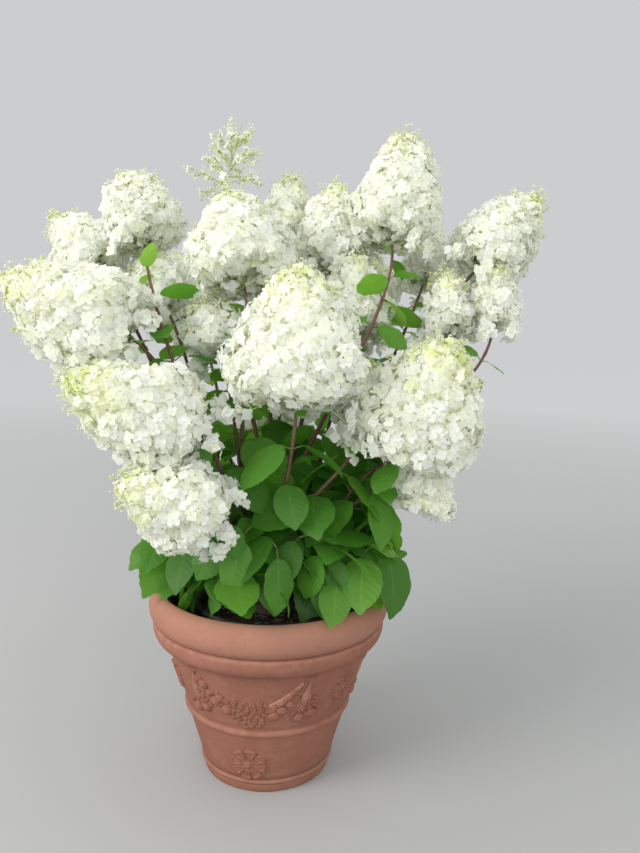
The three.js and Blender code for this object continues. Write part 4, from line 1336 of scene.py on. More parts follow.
@dataclass(frozen=True)
class Blade:
    """One leaf blade a unit long: oval, pointed, toothed, and quilted between arching veins.

    Attributes:
        broadest: How far along it its widest place is.
        fold: How far its sides rise from the midrib.
        arch: How far its tip bends down.
        wave: How far its margin waves up and down.
        tooth: How far the teeth on the margin stand out.
        quilt: How far the blade swells between two veins.
    """

    width: float = 0.7
    broadest: float = 0.44
    fold: float = 0.16
    arch: float = 0.16
    wave: float = 0.02
    twist: float = 0.0
    veins: int = 7
    cells: int = 3
    midrib: float = 0.022
    tooth: float = 0.006
    quilt: float = 0.016

    def half_width(self, along: Array) -> Array:
        """Returns half the width at shares of the length."""
        along = np.clip(along, 0, 1)
        power = math.log(0.5) / math.log(self.broadest)
        full = np.sin(math.pi * along**power)
        drawn = 1 - 0.42 * np.clip((along - 0.82) / 0.18, 0, 1) ** 1.2
        return self.width / 2 * drawn * np.maximum(full, 0) ** np.where(along < self.broadest, 0.62, 0.68)

    def stations(self) -> tuple[Array, Array]:
        """Returns each row's share of the length, and how far it lies between two veins."""
        starts = 0.03 + 0.86 * (np.arange(self.veins) / self.veins) ** 1.22
        ends = np.append(starts[1:], 0.95)
        rows, bulge = [0.0], [0.0]
        for start, end in zip(starts, ends):
            gap = end - start
            rows += [start, start + 0.13 * gap, start + 0.56 * gap]
            bulge += [0.0, 0.0, 1.0]
        return np.array(rows + [0.95, 1.0]), np.array(bulge + [0.0, 0.0])

    def mesh(self) -> tuple[Array, Array, Array]:
        """Builds the blade.

        Returns:
            Its points along X across, Y along and Z up, its faces, and which of them are the midrib.
        """
        rows, bulge = self.stations()
        steps = np.linspace(0, 1, self.cells + 1)
        share = np.concatenate([-steps[::-1], steps])
        share[self.cells], share[self.cells + 1] = -self.midrib, self.midrib
        side, half = np.abs(share)[None, :], np.sign(share)
        row, bulge = rows[:, None], bulge[:, None]
        sweep = 0.4 * (1 - row) * np.minimum(1, row / 0.3)
        along = row + sweep * side**1.5
        edge = self.half_width(row + sweep) * half
        tooth = np.where(bulge > 0, -self.tooth / 2, self.tooth) * (side == 1) * (row > 0.05) * (row < 0.99)
        across = edge * side + tooth * half
        along = along + tooth * 0.8
        quilt = self.quilt * bulge * np.sin(math.pi * np.clip(side, 0.1, 0.93))
        quilt = quilt - self.quilt / 4 * (1 - bulge) * (side < 0.9) * (side > 0.1)
        height = quilt + self.fold * np.abs(across) - 0.35 * self.fold * across**2 * 8
        height = height + self.wave * np.sin(along * 17 + half) * side**2
        height = height - self.arch * along**2.2
        turn = self.twist * along
        x = across * np.cos(turn) - height * np.sin(turn)
        z = across * np.sin(turn) + height * np.cos(turn)
        points = np.stack([x, along - 0.12 * self.arch * along**2, z], axis=-1)
        faces = grid_faces(len(rows), len(share))
        midrib = np.arange(len(faces)) % (len(share) - 1) == self.cells
        return points.reshape(-1, 3), faces, midrib


@dataclass(frozen=True)
class Leaf:
    """One leaf: its foot, the way its stalk goes, the blade's directions, and its stalk's share."""

    point: Array
    out: Array
    along: Array
    upward: Array
    length: float
    tone: Tone
    shape: int
    stalk: float = 0.15

    def base(self) -> Array:
        """Returns where its blade starts."""
        return self.point + self.out * self.length * self.stalk


class Foliage:
    """Grows leaves and side twigs on a cane's shoots and builds them as meshes, in millimetres.

    Attributes:
        high_zone: How far below a head its shoot's upper zone starts.
        low_zone_top: The height under which leaves are as large as in the lowest zone.
        least_leafy: The least share of its pairs of leaves that a shoot keeps.
        eases: The shares of its droop that a leaf tries, until it is clear of the planter.
        clear_share: The most of a leaf that may be inside a panicle.
        twig_turns: How far from its cane's azimuth each side twig points, in degrees.
        open_side: The azimuths between which no side twig points, where the compost shows.
    """

    internode = 74.0
    high_zone = 190.0
    low_zone_top = 880.0
    small_leaf_reach = 105.0
    least_leafy = 0.85
    first_pair = (18.0, 48.0)
    eases = (1.0, 0.7, 0.4, 0.1, -0.2)
    clear_share = 0.5
    shoot_radii = (6.0, 3.2)
    young_from = 0.85
    twig_radii = (4.0, 2.2)
    twig_turns = (-50.0, -24.0, 0.0, 24.0, 50.0)
    twig_reach = 138.0
    twig_pairs = (0.45, 0.98)
    open_side = (-168.0, -122.0)

    def __init__(self, planter: Planter, spaces: "Sequence[PanicleSpace]") -> None:
        """Keeps the planter and the panicles' rooms, for leaves to stay clear of, and makes the blades."""
        self.planter = planter
        self.spaces = spaces
        random = np.random.default_rng(3)
        self.blades = [
            Blade(
                width=random.uniform(0.58, 0.73),
                broadest=random.uniform(0.42, 0.50),
                fold=random.uniform(0.02, 0.22),
                arch=random.uniform(0.06, 0.34),
                wave=random.uniform(0.006, 0.022),
                twist=random.uniform(-0.5, 0.5),
            ).mesh()
            for _ in range(14)
        ]

    @staticmethod
    def out_at(heading: Array, turn: float) -> Array:
        """Returns the way out of a stem at an angle round it."""
        side = unit(np.cross(heading, ACROSS))
        return side * math.cos(turn) + unit(np.cross(side, heading)) * math.sin(turn)

    def _leaf(
        self, point: Array, heading: Array, turn: float, zone: Zone, random: Random, size: float = 1.0
    ) -> Leaf | None:
        """Grows one leaf, raised if need be until it is clear of the planter.

        Args:
            point: Where it leaves the stem's axis.
            heading: The way the stem goes.
            turn: Its angle round the stem.
            zone: Where on the shoot it is.
            random: The stem's seeded numbers.
            size: Its size, as a share of what is usual in its zone.

        Returns:
            The leaf, or None where there is no room for it.
        """
        out = self.out_at(heading, turn)
        length = zone.length * random.uniform(0.74, 1.18) * size
        droop = zone.droop * random.uniform(0.45, 1.5)
        roll = random.uniform(-0.5, 0.5)
        tone = Tone(int(random.choice(len(Tone), p=zone.tones)))
        shape = int(random.integers(0, len(self.blades)))
        stalk = unit(out + 0.55 * heading)
        for ease in self.eases:
            along = unit(out + 0.35 * heading - UP * droop * ease)
            upward = turned(unit(UP - along * along[2] + 1e-6 * out), along, roll)
            leaf = Leaf(point, stalk, along, upward, length, tone, shape)
            if not self.planter.hits(self.blade_points(leaf)):
                return None if self._in_panicle(leaf) else leaf
        return None

    def _in_panicle(self, leaf: Leaf) -> bool:
        """Tells whether much of a leaf would be inside a panicle."""
        points = self.blade_points(leaf)[::4]
        return any(space.holds(points).mean() > self.clear_share for space in self.spaces)

    def blade_points(self, leaf: Leaf) -> Array:
        """Returns the points of a leaf's blade in space."""
        axes = np.stack([np.cross(leaf.along, leaf.upward), leaf.along, leaf.upward])
        return leaf.base() + self.blades[leaf.shape][0] @ axes * leaf.length * (1 - leaf.stalk)

    def on_shoot(self, cane: Cane, shoot: Shoot, seed: int) -> list[Leaf]:
        """Grows and returns a shoot's leaves: opposite pairs, each a quarter turn from the last."""
        random = np.random.default_rng(seed)
        way = cane.shoot_way(shoot)
        total = way.length()
        first = random.uniform(0, math.pi)
        length, k, leaves = random.uniform(*self.first_pair), 0, []
        while length < total - 12:
            share, left = way.share_at(length), total - length
            point, heading = way.at(share)[0], way.heading(share)
            zone = Zone.HIGH if left < self.high_zone else Zone.MIDDLE
            zone = Zone.LOW if point[2] < self.low_zone_top else zone
            size = min(1.0, 0.42 + 0.58 * left / self.small_leaf_reach)
            if random.random() < max(self.least_leafy, shoot.leafy):
                for half in (0, math.pi):
                    turn = first + k * math.pi / 2 + half + random.uniform(-0.25, 0.25)
                    leaves.append(self._leaf(point, heading, turn, zone, random, size))
            length += self.internode * random.uniform(0.8, 1.2)
            k += 1
        return [leaf for leaf in leaves if leaf]

    def side_twigs(self, cane: Cane, seed: int) -> list[tuple[Way, list[Leaf]]]:
        """Grows a cane's short side twigs, whose leaves hang over the planter's rim.

        Returns:
            Each twig's curve and leaves.
        """
        random = np.random.default_rng(seed)
        twigs = []
        for away in self.twig_turns:
            start = cane.tip() + cane.heading() * random.uniform(-60, 70)
            turn = (cane.fork[0] + away + random.uniform(-10, 10) + 180) % 360 - 180
            if self.open_side[0] < turn < self.open_side[1]:
                continue
            reach = self.twig_reach * random.uniform(0.7, 1.25)
            end = start + direction(turn, random.uniform(-6, 30)) * reach
            middle = (start + end) / 2 + UP * 14
            way = Way(np.stack([start, (start + 2 * middle) / 3, (end + 2 * middle) / 3, end]))
            leaves = []
            for k, share in enumerate(self.twig_pairs):
                for half in (0, math.pi):
                    spin = half + k * 1.3 + random.uniform(-0.2, 0.2)
                    point, heading = way.at(share)[0], way.heading(share)
                    leaves.append(self._leaf(point, heading, spin, Zone.LOW, random))
            leaves = [leaf for leaf in leaves if leaf]
            if leaves and not self.planter.hits(way.at(np.linspace(0.2, 1, 8))):
                twigs.append((way, leaves))
        return twigs

    def add_leaf(self, batch: MeshBatch, leaf: Leaf) -> None:
        """Adds a leaf's blade and stalk to a mesh."""
        _, faces, midrib = self.blades[leaf.shape]
        slots = np.where(midrib, leaf.tone + len(Tone), leaf.tone)
        batch.add(self.blade_points(leaf), faces, slots)
        shares = np.linspace(0, 1, 5)[:, None]
        bend = leaf.point + (leaf.base() - leaf.point) * 0.7
        tip = leaf.base() + leaf.along * leaf.length * 0.04
        path = leaf.point * (1 - shares) ** 2 + 2 * bend * shares * (1 - shares) + tip * shares**2
        batch.add_tube(path, np.linspace(0.016, 0.010, 5) * leaf.length, 5, STALK_SLOT)

    def build(self, cane: Cane, index: int) -> None:
        """Builds and dresses the shoots, side twigs and leaves of a cane, whose index seeds them."""
        wood, blades = MeshBatch(), MeshBatch()
        shares = np.linspace(0, 1, 60)
        old, young = shares <= self.young_from + 0.01, shares >= self.young_from - 0.01
        for s, shoot in enumerate(cane.shoots):
            way = cane.shoot_way(shoot)
            thick, thin = self.shoot_radii
            radii = thick + (thin - thick) * shares
            radii = radii + 0.8 * joint_swell(shares, way.length() / self.internode, 0.08)
            wood.add_tube(way.at(shares[old]), radii[old], 10, Wood.RED)
            wood.add_tube(way.at(shares[young]), radii[young], 10, Wood.YOUNG)
            for leaf in self.on_shoot(cane, shoot, 100 + index * 5 + s):
                self.add_leaf(blades, leaf)
        for way, leaves in self.side_twigs(cane, 300 + index):
            wood.add_tube(way.at(np.linspace(0, 1, 16)), np.linspace(*self.twig_radii, 16), 8, Wood.RED)
            for leaf in leaves:
                self.add_leaf(blades, leaf)
        keep(wood.make("twigs_" + cane.name, wood_finishes()), "bark")
        keep(blades.make("leaves_" + cane.name, leaf_finishes()), "foliage", "spray_" + cane.name)


# Panicles


class Petal(IntEnum):
    """What a panicle is made of, in the order of its piece's finishes."""

    WHITE = 0
    IVORY = 1
    CREAM = 2
    LIME = 3
    BUD = 4
    STALK = 5
    DEPTH = 6
    SPECK = 7


def petal_finishes() -> list[Material]:
    """Returns the panicles' finishes in the order of Petal."""
    sepals = (
        ("sepal_white", (0.93, 0.935, 0.90), (0.97, 0.98, 0.93)),
        ("sepal_ivory", (0.92, 0.93, 0.83), (0.96, 0.97, 0.84)),
        ("sepal_cream", (0.90, 0.915, 0.70), (0.94, 0.96, 0.70)),
        ("sepal_lime", (0.80, 0.86, 0.46), (0.86, 0.93, 0.46)),
    )
    thin = {"through": 0.5, "roughness": 0.6, "mottled": 0.1, "specular": 0.25, "bump": 0.08}
    made = [ThinTissue(*sepal, **thin) for sepal in sepals]
    made.append(ThinTissue("flower_bud", (0.66, 0.72, 0.36), (0.7, 0.8, 0.3), through=0.1))
    made.append(ThinTissue("panicle_stalk", (0.42, 0.50, 0.20), (0.4, 0.5, 0.15), through=0.05))
    # the core is cream like the inner florets, made paler as painted light in the gaps
    made.append(ThinTissue("panicle_core_cream_and_light", (0.86, 0.88, 0.66), (0.8, 0.85, 0.6), through=0.05))
    # dark buds: partly spent buds, partly painted shade for the dark gaps between florets
    made.append(ThinTissue("spent_bud_and_gap_shade", (0.16, 0.17, 0.05), (0.2, 0.2, 0.05), through=0.05))
    return [finish.make() for finish in made]


@dataclass(frozen=True)
class PanicleSpace:
    """The room of one panicle: its frame at the shoot's head and how wide it is along its axis.

    Attributes:
        stations: Shares of its length.
        widths: How wide it is there, as a share of its greatest width.
        well_inside: How near the axis a point is held by it, as a share of its radius.
    """

    shoot: Shoot
    seed: int
    stations: Row = (0, 0.1, 0.28, 0.5, 0.7, 0.86, 0.95, 1)
    widths: Row = (0.5, 0.92, 1, 0.87, 0.65, 0.4, 0.22, 0.06)
    well_inside: float = 0.84

    @property
    def matrix(self) -> Array:
        """The turn from the panicle's own frame to the object's."""
        return upright_to(direction(*self.shoot.aim)[None])[0]

    def radius(self, share: Array, turn: Array) -> Array:
        """Returns the panicle's lobed radius at a share of its length and an angle round it."""
        fade = np.sin(math.pi * np.clip(share * 1.15, 0, 1))
        broad = 0.07 * np.cos(3 * turn + self.seed * 1.7 + share * 4)
        lobes = 1 + fade * (broad + 0.05 * np.cos(5 * turn - self.seed + share * 9))
        return np.interp(share, self.stations, self.widths) * self.shoot.size[1] / 2 * lobes

    def out_of(self, local: Array) -> Array:
        """Returns points of the panicle's own frame in space."""
        return local @ self.matrix.T + np.array(self.shoot.head)

    def holds(self, points: Array) -> Array:
        """Returns which points are well inside the panicle."""
        x, y, z = ((points - np.array(self.shoot.head)) @ self.matrix).T
        share = z / self.shoot.size[0]
        within = np.hypot(x, y) < self.well_inside * self.radius(share, np.arctan2(y, x))
        return within & (share > 0.03) & (share < 0.97)


class FloretShapes:
    """Florets a unit in radius: four rounded, cupped sepals round a bud."""

    sepals = 4
    sepal_middle = 0.54
    sepal_length = (0.43, 0.49)
    sepal_width = (0.43, 0.53)
    sepal_cup = (0.02, 0.18)

    def __init__(self, count: int, rim_points: int, budded: bool = True) -> None:
        """Makes a number of floret shapes that differ a little.

        Args:
            count: How many there are.
            rim_points: How many corners the edge of a sepal has.
            budded: Whether they have a bud in the middle.
        """
        self.rim_points = rim_points
        random = np.random.default_rng(21)
        corners, faces = self.sepals * (rim_points + 2), self.sepals * (rim_points + 1)
        self.points = np.stack([self._floret(random) for _ in range(count)])
        self.faces = self._faces()
        self.bud_faces = np.arange(len(self.faces)) >= faces
        if not budded:
            self.points, self.faces = self.points[:, :corners], self.faces[:faces]
            self.bud_faces = self.bud_faces[:faces]

    def _floret(self, random: Random) -> Array:
        """Returns the points of one floret's sepals, then those of its bud."""
        turns = np.radians(np.linspace(-150, 150, self.rim_points))
        points = []
        for k in range(self.sepals):
            long, wide = random.uniform(*self.sepal_length), random.uniform(*self.sepal_width)
            x = self.sepal_middle + long * np.cos(turns)
            y = wide * np.sin(turns)
            cup = random.uniform(*self.sepal_cup)
            z = cup * (x**2) + 0.07 * np.cos(2.2 * turns + random.uniform(0, 6)) * np.hypot(x - 0.5, y) * 2
            middle = [[0.04, 0, 0], [self.sepal_middle, 0, cup * 0.1 - 0.03]]
            sepal = np.concatenate([middle, np.stack([x, y, z], axis=-1)])
            sepal[:, 2] += 0.06 * (k % 2)
            turn = math.radians(90 * k + random.uniform(-9, 9))
            points.append(sepal @ spun(np.array([turn]))[0].T)
        bud = np.array([[0.1, 0, 0.05], [0, 0.1, 0.05], [-0.1, 0, 0.05], [0, -0.1, 0.05], [0, 0, 0.2]])
        return np.concatenate([*points, bud])

    def _faces(self) -> Array:
        """Returns the corner numbers of a floret: each sepal is a fan about its middle."""
        rim = np.arange(self.rim_points - 1)
        fan = np.stack([np.full_like(rim, 1), rim + 2, rim + 3], axis=-1)
        fan = np.concatenate([[[1, 0, 2]], fan, [[1, self.rim_points + 1, 0]]])
        sepals = [fan + k * (self.rim_points + 2) for k in range(self.sepals)]
        first = self.sepals * (self.rim_points + 2)
        bud = np.array([[0, 1, 4], [1, 2, 4], [2, 3, 4], [3, 0, 4]]) + first
        return np.concatenate([*sepals, bud])


@dataclass
class Panicle:
    """One flower head: florets in round clusters over a branched stalk, in millimetres.

    Points are in the panicle's own frame, whose +Z runs from its foot to its tip.

    Attributes:
        crowding: How many florets there are for the room on its surface.
        cluster_reach: How far a round cluster reaches.
        clumps: How many loose tongues of florets hang below it.
        tip_from: The share of its length from which florets are smaller and greener.
    """

    space: PanicleSpace
    shapes: FloretShapes
    inner_shapes: FloretShapes
    floret_radius: float = 13.5
    crowding: float = 2.25
    inner_crowding: float = 1.2
    inner_depth: Pair = (12.0, 20.0)
    cluster_reach: float = 33.0
    clumps: int = 6
    specks: int = 110
    sprigs: int = 34
    tip_from: float = 0.62

    def __post_init__(self) -> None:
        """Starts the mesh and its seeded numbers, and measures the surface."""
        self._batch = MeshBatch()
        self._random = np.random.default_rng(500 + self.space.seed)
        self._length = self.space.shoot.size[0]
        self._table = self._area_table()
        self._area = self._table[1][-1] * 2 * math.pi

    def _near_tip(self, share: Array) -> Array:
        """Returns 0 low down and 1 at the tip, for shares of the length."""
        return np.clip((share - self.tip_from) / (1 - self.tip_from), 0, 1)

    def _grown(self, share: Array) -> Array:
        """Returns how far florets have grown at shares of the length: less and less toward the tip."""
        return 1.05 - 0.52 * self._near_tip(share) ** 1.2

    def _radius(self, share: Array, turn: Array) -> Array:
        """Returns the radius, rounded off at the base and the tip."""
        cap = np.sqrt(np.clip((1.004 - share) / 0.06, 0, 1))
        base = np.sqrt(np.clip((share + 0.016) / 0.05, 0.02, 1))
        return self.space.radius(np.clip(share, 0, 1), turn) * cap * base

    def _hang(self, share: Array, turn: Array) -> Array:
        """Returns how far the uneven lower edge hangs down at an angle round the panicle."""
        low = np.clip(1 - share / 0.32, 0, 1)
        return low * (9 * np.cos(4 * turn + self.space.seed) + 7 * np.cos(7 * turn + 2 * self.space.seed))

    def _area_table(self) -> tuple[Array, Array]:
        """Returns shares of the length, and the area below each, which counts for more by the tip."""
        shares = np.linspace(-0.015, 1, 240)
        radius = self._radius(shares, np.zeros_like(shares))
        step = np.hypot(np.diff(shares) * self._length, np.diff(radius))
        crowd = self._grown(shares[1:]) ** -1.7
        area = np.concatenate([[0], np.cumsum(step * (radius[1:] + radius[:-1]) / 2 * crowd)])
        return shares, area

    def _on_surface(self, count: int, shift: float) -> tuple[Array, Array, Array]:
        """Spreads points evenly over the panicle.

        Args:
            count: How many.
            shift: How far their spiral is turned.

        Returns:
            Their shares of the length, their points and their outward directions.
        """
        shares, area = self._table
        share = np.interp((np.arange(count) + 0.5) / count * area[-1], area, shares)
        turn = np.arange(count) * GOLDEN_ANGLE + shift
        points = about_axis(self._radius(share, turn), turn, share * self._length - self._hang(share, turn))
        slope = (self._radius(share + 0.02, turn) - self._radius(share - 0.02, turn)) / (0.04 * self._length)
        return share, points, unit(about_axis(1.0, turn, -np.clip(slope, -2.5, 2.5)))

    def _cluster_middles(self) -> Array:
        """Returns the middles of the round clusters."""
        return self._on_surface(max(6, int(self._area / self.cluster_reach**2 / 2.6)), 1.3)[1]

    def _look(self, share: Array, ripe: float) -> tuple[Array, Array]:
        """Gives florets their sizes and colours: white low down, small, cream and lime near the tip.

        Args:
            share: Each floret's share of the panicle's length.
            ripe: How much more cream they all are.

        Returns:
            Their radii and their colours' numbers.
        """
        tip = self._near_tip(share)
        radius = self.floret_radius * self._random.uniform(0.82, 1.14, len(share)) * self._grown(share)
        cream = self._random.random(len(share)) * 0.72 + 0.34 * tip + 0.16 * share + ripe
        cream = cream + self.space.shoot.open_tip * 0.28 * tip
        return radius, np.digitize(cream, (0.52, 0.80, 1.04))

    def _add_florets(
        self, shapes: FloretShapes, points: Array, aims: Array, radius: Array, petals: Array
    ) -> None:
        """Adds florets.

        Args:
            shapes: Their shapes.
            points: Their middles.
            aims: The way each faces.
            radius: Their radii.
            petals: Their colours' numbers.
        """
        count = len(points)
        turn = spun(self._random.uniform(0, 2 * math.pi, count))
        chosen = shapes.points[self._random.integers(0, len(shapes.points), count)]
        placed = np.einsum("nij,nkj->nki", upright_to(aims) @ turn, chosen) * radius[:, None, None]
        placed = self.space.out_of((placed + points[:, None]).reshape(-1, 3))
        corners = shapes.points.shape[1]
        faces = (shapes.faces[None] + (np.arange(count) * corners)[:, None, None]).reshape(-1, 3)
        slots = np.where(shapes.bud_faces[None], int(Petal.BUD), petals[:, None])
        self._batch.add(placed, faces, slots.reshape(-1))

    def _add_bud(self, point: Array, radius: float, slot: Petal) -> None:
        """Adds one small bud."""
        corners = np.array([[1, 0, 0], [0, 1, 0], [-1, 0, 0], [0, -1, 0], [0, 0, 1], [0, 0, -1]], float)
        top = [[k, (k + 1) % 4, 4] for k in range(4)]
        bottom = [[(k + 1) % 4, k, 5] for k in range(4)]
        self._batch.add(self.space.out_of(point + corners * radius), np.array(top + bottom), slot)

    def _add_stalk(self, path: Sequence[Array], radii: Sequence[float], sides: int = 4) -> None:
        """Adds a stalk along some points, with its radius at each."""
        self._batch.add_tube(self.space.out_of(np.stack(path)), np.array(radii), sides, Petal.STALK)

    def _add_stem(self, reach: float, radii: Pair, sides: int) -> None:
        """Adds the stalk up the middle, as far as a share of the length, with its radii at its ends."""
        self._add_stalk(UP * np.linspace(-2, reach * self._length, 8)[:, None], np.linspace(*radii, 8), sides)

    def _stalks(self) -> None:
        """Adds the stalk up the middle and a side branch to each cluster."""
        self._add_stem(0.9, (3.2, 1.2), 6)
        for middle in self._cluster_middles():
            foot = UP * min(max(2.0, middle[2] - 0.55 * np.hypot(middle[0], middle[1])), 0.88 * self._length)
            path = [foot, (foot + middle) / 2 - UP * 6, foot + (middle - foot) * 0.93]
            self._add_stalk(path, (1.7, 1.3, 1.0))

    def _depth(self) -> None:
        """Adds a lumpy core in the middle, seen only through gaps: the cream of the inner florets, made paler
        as painted light there.
        """
        share, turn = np.linspace(0.05, 0.9, 14)[:, None], circle(24)[None, :]
        lumps = 0.66 + 0.07 * np.sin(5 * turn + 19 * share) + 0.04 * np.sin(9 * turn - 31 * share)
        points = about_axis(self._radius(share, turn) * lumps, turn, share * self._length * 0.94 + 6)
        points = self.space.out_of(points.reshape(-1, 3)).reshape(points.shape)
        self._batch.add_grid(points, closed=True, slot=Petal.DEPTH)

    def _florets(self) -> None:
        """Adds the florets: an even layer under others in round clusters, which stand out as lobes."""
        random, one = self._random, math.pi * self.floret_radius**2
        count = int(self.inner_crowding * self._area / one)
        share, points, out = self._on_surface(count, 2.1)
        points = points - out * random.uniform(*self.inner_depth, count)[:, None]
        aims = unit(out + random.normal(0, 0.22, (count, 3)))
        self._add_florets(self.inner_shapes, points, aims, *self._look(share, 0.08))
        count = int(self.crowding * self._area / one)
        share, points, out = self._on_surface(count, 0.0)
        middles = self._cluster_middles()
        gaps = np.linalg.norm(points[:, None] - middles[None], axis=-1)
        nearest, near = gaps.argmin(axis=1), gaps.min(axis=1) / self.cluster_reach
        out = unit(out + 0.85 * (points - middles[nearest]) / self.cluster_reach)
        ragged = random.uniform(-9, 5, len(middles))[nearest]
        lift = (12 * (1 - near**2) + ragged) * (1 - 0.6 * np.clip((share - 0.6) / 0.4, 0, 1))
        lift = lift - 7 - random.uniform(0, 6, count)
        points = points + out * lift[:, None] + random.normal(0, 2.2, (count, 3))
        aims = unit(out + random.normal(0, 0.21, (count, 3)))
        self._add_florets(self.shapes, points, aims, *self._look(share, 0.0))
        # dark specks: spent buds and painted shade of the gaps between florets
        for i in random.integers(0, count, self.specks):
            self._add_bud(points[i] + random.normal(0, 4, 3), random.uniform(1.2, 2.3), Petal.SPECK)

    def _tongues(self) -> None:
        """Adds loose tongues of florets that hang below the rest on their own stalks."""
        random = self._random
        for _ in range(self.clumps):
            turn, count = random.uniform(0, 2 * math.pi), int(random.integers(10, 19))
            out = np.array([math.cos(turn), math.sin(turn), 0])
            rim = out * 0.84 * float(self._radius(np.array(0.12), np.array(turn)))
            fall = unit(out * random.uniform(-0.2, 0.5) - UP) * random.uniform(12, 34)
            points = rim + np.linspace(0, 1, count)[:, None] * fall + random.normal(0, 7.5, (count, 3))
            aims = unit(random.normal(0, 0.55, (count, 3)) + out - 0.2 * UP)
            self._add_florets(self.shapes, points, aims, *self._look(np.zeros(count), 0.0))
            self._add_stalk([UP * 12, rim * 0.5 + UP * 4, rim + fall], (1.5, 1.2, 0.9))

    def _sprigs(self) -> None:
        """Adds sprigs still in bud, which stand out round the tip and make its outline lacy."""
        random = self._random
        share, points, out = self._on_surface(170, 0.7)
        count = int(self.sprigs * np.clip(1 + self.space.shoot.open_tip, 0, 1))
        for i in random.choice(np.flatnonzero(share > self.tip_from), count):
            aim = unit(out[i] + random.normal(0, 0.3, 3) + 0.6 * UP)
            tip = points[i] + aim * random.uniform(5, 15)
            self._add_stalk([points[i] - 9 * aim, tip], (1.0, 0.6))
            for _ in range(6):
                slot = Petal(int(random.integers(Petal.IVORY, Petal.BUD)))
                self._add_bud(tip + random.normal(0, 3.4, 3), random.uniform(1.5, 2.9), slot)

    def _fill(self) -> None:
        """Adds everything that the panicle is made of."""
        self._stalks()
        self._depth()
        self._florets()
        self._tongues()
        self._sprigs()

    def build(self) -> None:
        """Builds and dresses the panicle."""
        self._fill()
        name = self.space.shoot.name
        keep(self._batch.make("blossom_" + name, petal_finishes()), "petals", "panicle_" + name)


@dataclass
class LacyPanicle(Panicle):
    """An open panicle still in bud: forked twigs with beads of buds and a few florets."""

    branches: int = 22
    forks: int = 8
    buds: int = 7
    open_florets: int = 70
    open_radius: Pair = (7.0, 12.0)

    def _fill(self) -> None:
        """Adds everything that the panicle is made of."""
        random = self._random
        self._add_stem(0.97, (3.0, 1.0), 7)
        ends = []
        for i in range(self.branches):
            share, turn = 0.1 + 0.84 * i / self.branches, i * GOLDEN_ANGLE
            radius = float(self._radius(np.array(share), np.array(turn))) * random.uniform(0.72, 1.0)
            foot = UP * share * self._length * 0.74
            end = np.array([radius * math.cos(turn), radius * math.sin(turn), share * self._length])
            self._add_stalk([foot, (foot + end) / 2 + UP * 5, end], (1.8, 1.5, 1.1), 5)
            for f in range(self.forks):
                start = foot + (end - foot) * (0.4 + 0.6 * f / (self.forks - 1))
                aim = unit(unit(end - foot) + random.normal(0, 0.65, 3))
                tip = start + aim * random.uniform(9, 22)
                self._add_stalk([start, tip], (1.0, 0.7))
                ends.append((tip, aim))
                for _ in range(self.buds):
                    slot = Petal(int(random.integers(Petal.IVORY, Petal.LIME)))
                    self._add_bud(tip + random.normal(0, 4.2, 3), random.uniform(1.8, 3.2), slot)
        chosen = random.choice(len(ends), self.open_florets, replace=False)
        points, aims = (np.stack(parts) for parts in zip(*(ends[i] for i in chosen)))
        radius = random.uniform(*self.open_radius, len(chosen))
        self._add_florets(self.shapes, points, aims, radius, random.integers(0, 3, len(chosen)))


# Studio


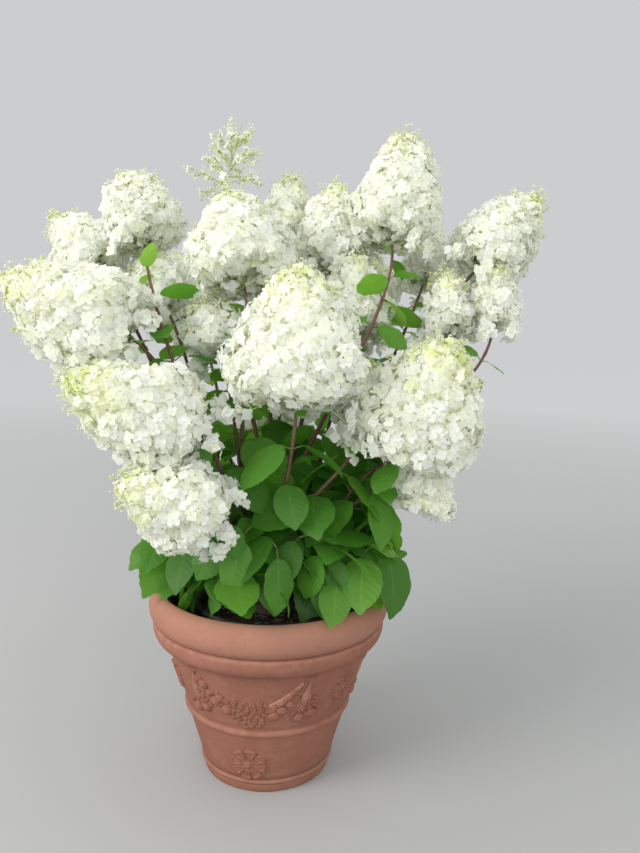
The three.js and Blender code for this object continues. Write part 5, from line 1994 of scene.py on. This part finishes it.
@dataclass
class Studio:
    """The floor, the light and the camera at the photograph's viewing angle, in metres and degrees."""

    camera_place: Point = (0.0, -1.870, 1.140)
    pitch: float = 8.1
    yaw: float = 3.6
    roll: float = 1.5
    lens: float = 32.29
    sensor: float = 36.0
    far_end: float = 200.0
    floor_rings: Row = (0.001, 2.0, 10.0, 40.0)
    lit_height: float = 0.8
    backdrop: Colour = (0.60, 0.61, 0.62)
    sky: Colour = (0.97, 0.99, 1.0)
    sky_strength: float = 0.98

    def _camera(self) -> None:
        """Makes the camera."""
        data = bpy.data.cameras.new("camera")
        data.lens, data.sensor_width, data.clip_end = self.lens, self.sensor, self.far_end
        camera = bpy.data.objects.new("camera", data)
        bpy.context.scene.collection.objects.link(camera)
        ahead, right = direction(90 - self.yaw, -self.pitch), direction(-self.yaw, 0)
        up = np.cross(right, ahead)
        roll = math.radians(self.roll)
        x = right * math.cos(roll) + up * math.sin(roll)
        y = up * math.cos(roll) - right * math.sin(roll)
        rows = np.stack([x, y, -ahead], axis=-1)
        camera.matrix_world = Matrix.Translation(Vector(self.camera_place)) @ Matrix(rows.tolist()).to_4x4()
        bpy.context.scene.camera = camera

    def _lamp(self, name: str, place: Point, size: float, power: float, colour: Colour) -> None:
        """Adds a soft square lamp that faces the shrub, with its side in metres and power in watts."""
        data = bpy.data.lights.new(name, "AREA")
        data.size, data.energy, data.color = size, power, colour
        lamp = bpy.data.objects.new(name, data)
        bpy.context.scene.collection.objects.link(lamp)
        lamp.location = place
        lamp.rotation_mode = "QUATERNION"
        lamp.rotation_quaternion = (Vector((0, 0, self.lit_height)) - Vector(place)).to_track_quat("-Z", "Y")

    def _world(self) -> None:
        """Makes an even sky that lights the shrub, with a plain backdrop where the camera sees it."""
        world = bpy.data.worlds.new("sky")
        world.use_nodes = True
        net = Wiring(world.node_tree)
        seen = net.node("LightPath").outputs["Is Camera Ray"]
        light = net.node("Background", {"Color": rgba(self.sky), "Strength": self.sky_strength})
        plain = net.node("Background", {"Color": rgba(self.backdrop), "Strength": 1.0})
        mixed = net.node("MixShader", {0: seen, 1: light.outputs[0], 2: plain.outputs[0]})
        net.node("OutputWorld", {"Surface": mixed.outputs[0]})
        bpy.context.scene.world = world

    def build(self) -> None:
        """Builds the floor, the lights and the camera."""
        batch = MeshBatch()
        radii = np.array(self.floor_rings)[:, None] / MM
        batch.add_grid(about_axis(radii, circle(96), 0.0), closed=True)
        batch.make("studio_floor", [StudioFloor().make()])
        self._world()
        self._lamp("key_lamp", (-3.6, -2.2, 3.0), 2.6, 165.0, (1.0, 0.985, 0.96))
        self._lamp("fill_lamp", (0.6, -4.6, 2.3), 2.6, 58.0, (0.97, 0.99, 1.0))
        self._camera()
        view = bpy.context.scene.view_settings
        view.view_transform = "Standard"
        view.look = "None"


def dress_bed() -> None:
    """Dresses the grit bed that the nursery pot stands on, which keeps its own solid."""
    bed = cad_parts["planter_bed"]
    bed.data.materials.clear()
    bed.data.materials.append(Earth("bed_grit", (0.030, 0.024, 0.019), (0.115, 0.090, 0.070), 90.0).make())


def main() -> None:
    """Builds the planter, the shrub and the studio in order."""
    logging.basicConfig(level=logging.INFO, format="%(name)s %(message)s")
    planter = Planter()
    planter.build()
    Festoons(planter).build()
    NurseryPot().build()
    Compost().build()
    dress_bed()
    WoodyStool().build()
    shoots = [shoot for cane in CANES for shoot in cane.shoots]
    seeds = [c * 3 + s for c, cane in enumerate(CANES) for s in range(len(cane.shoots))]
    spaces = [PanicleSpace(shoot, seed) for shoot, seed in zip(shoots, seeds)]
    foliage = Foliage(planter, spaces)
    for index, cane in enumerate(CANES):
        CaneBark(cane).build()
        foliage.build(cane, index)
    shapes, inner_shapes = FloretShapes(9, 6), FloretShapes(5, 4, budded=False)
    for space in spaces:
        kind = LacyPanicle if space.shoot.lacy else Panicle
        kind(space, shapes, inner_shapes).build()
    Studio().build()


if __name__ == "__main__":
    main()
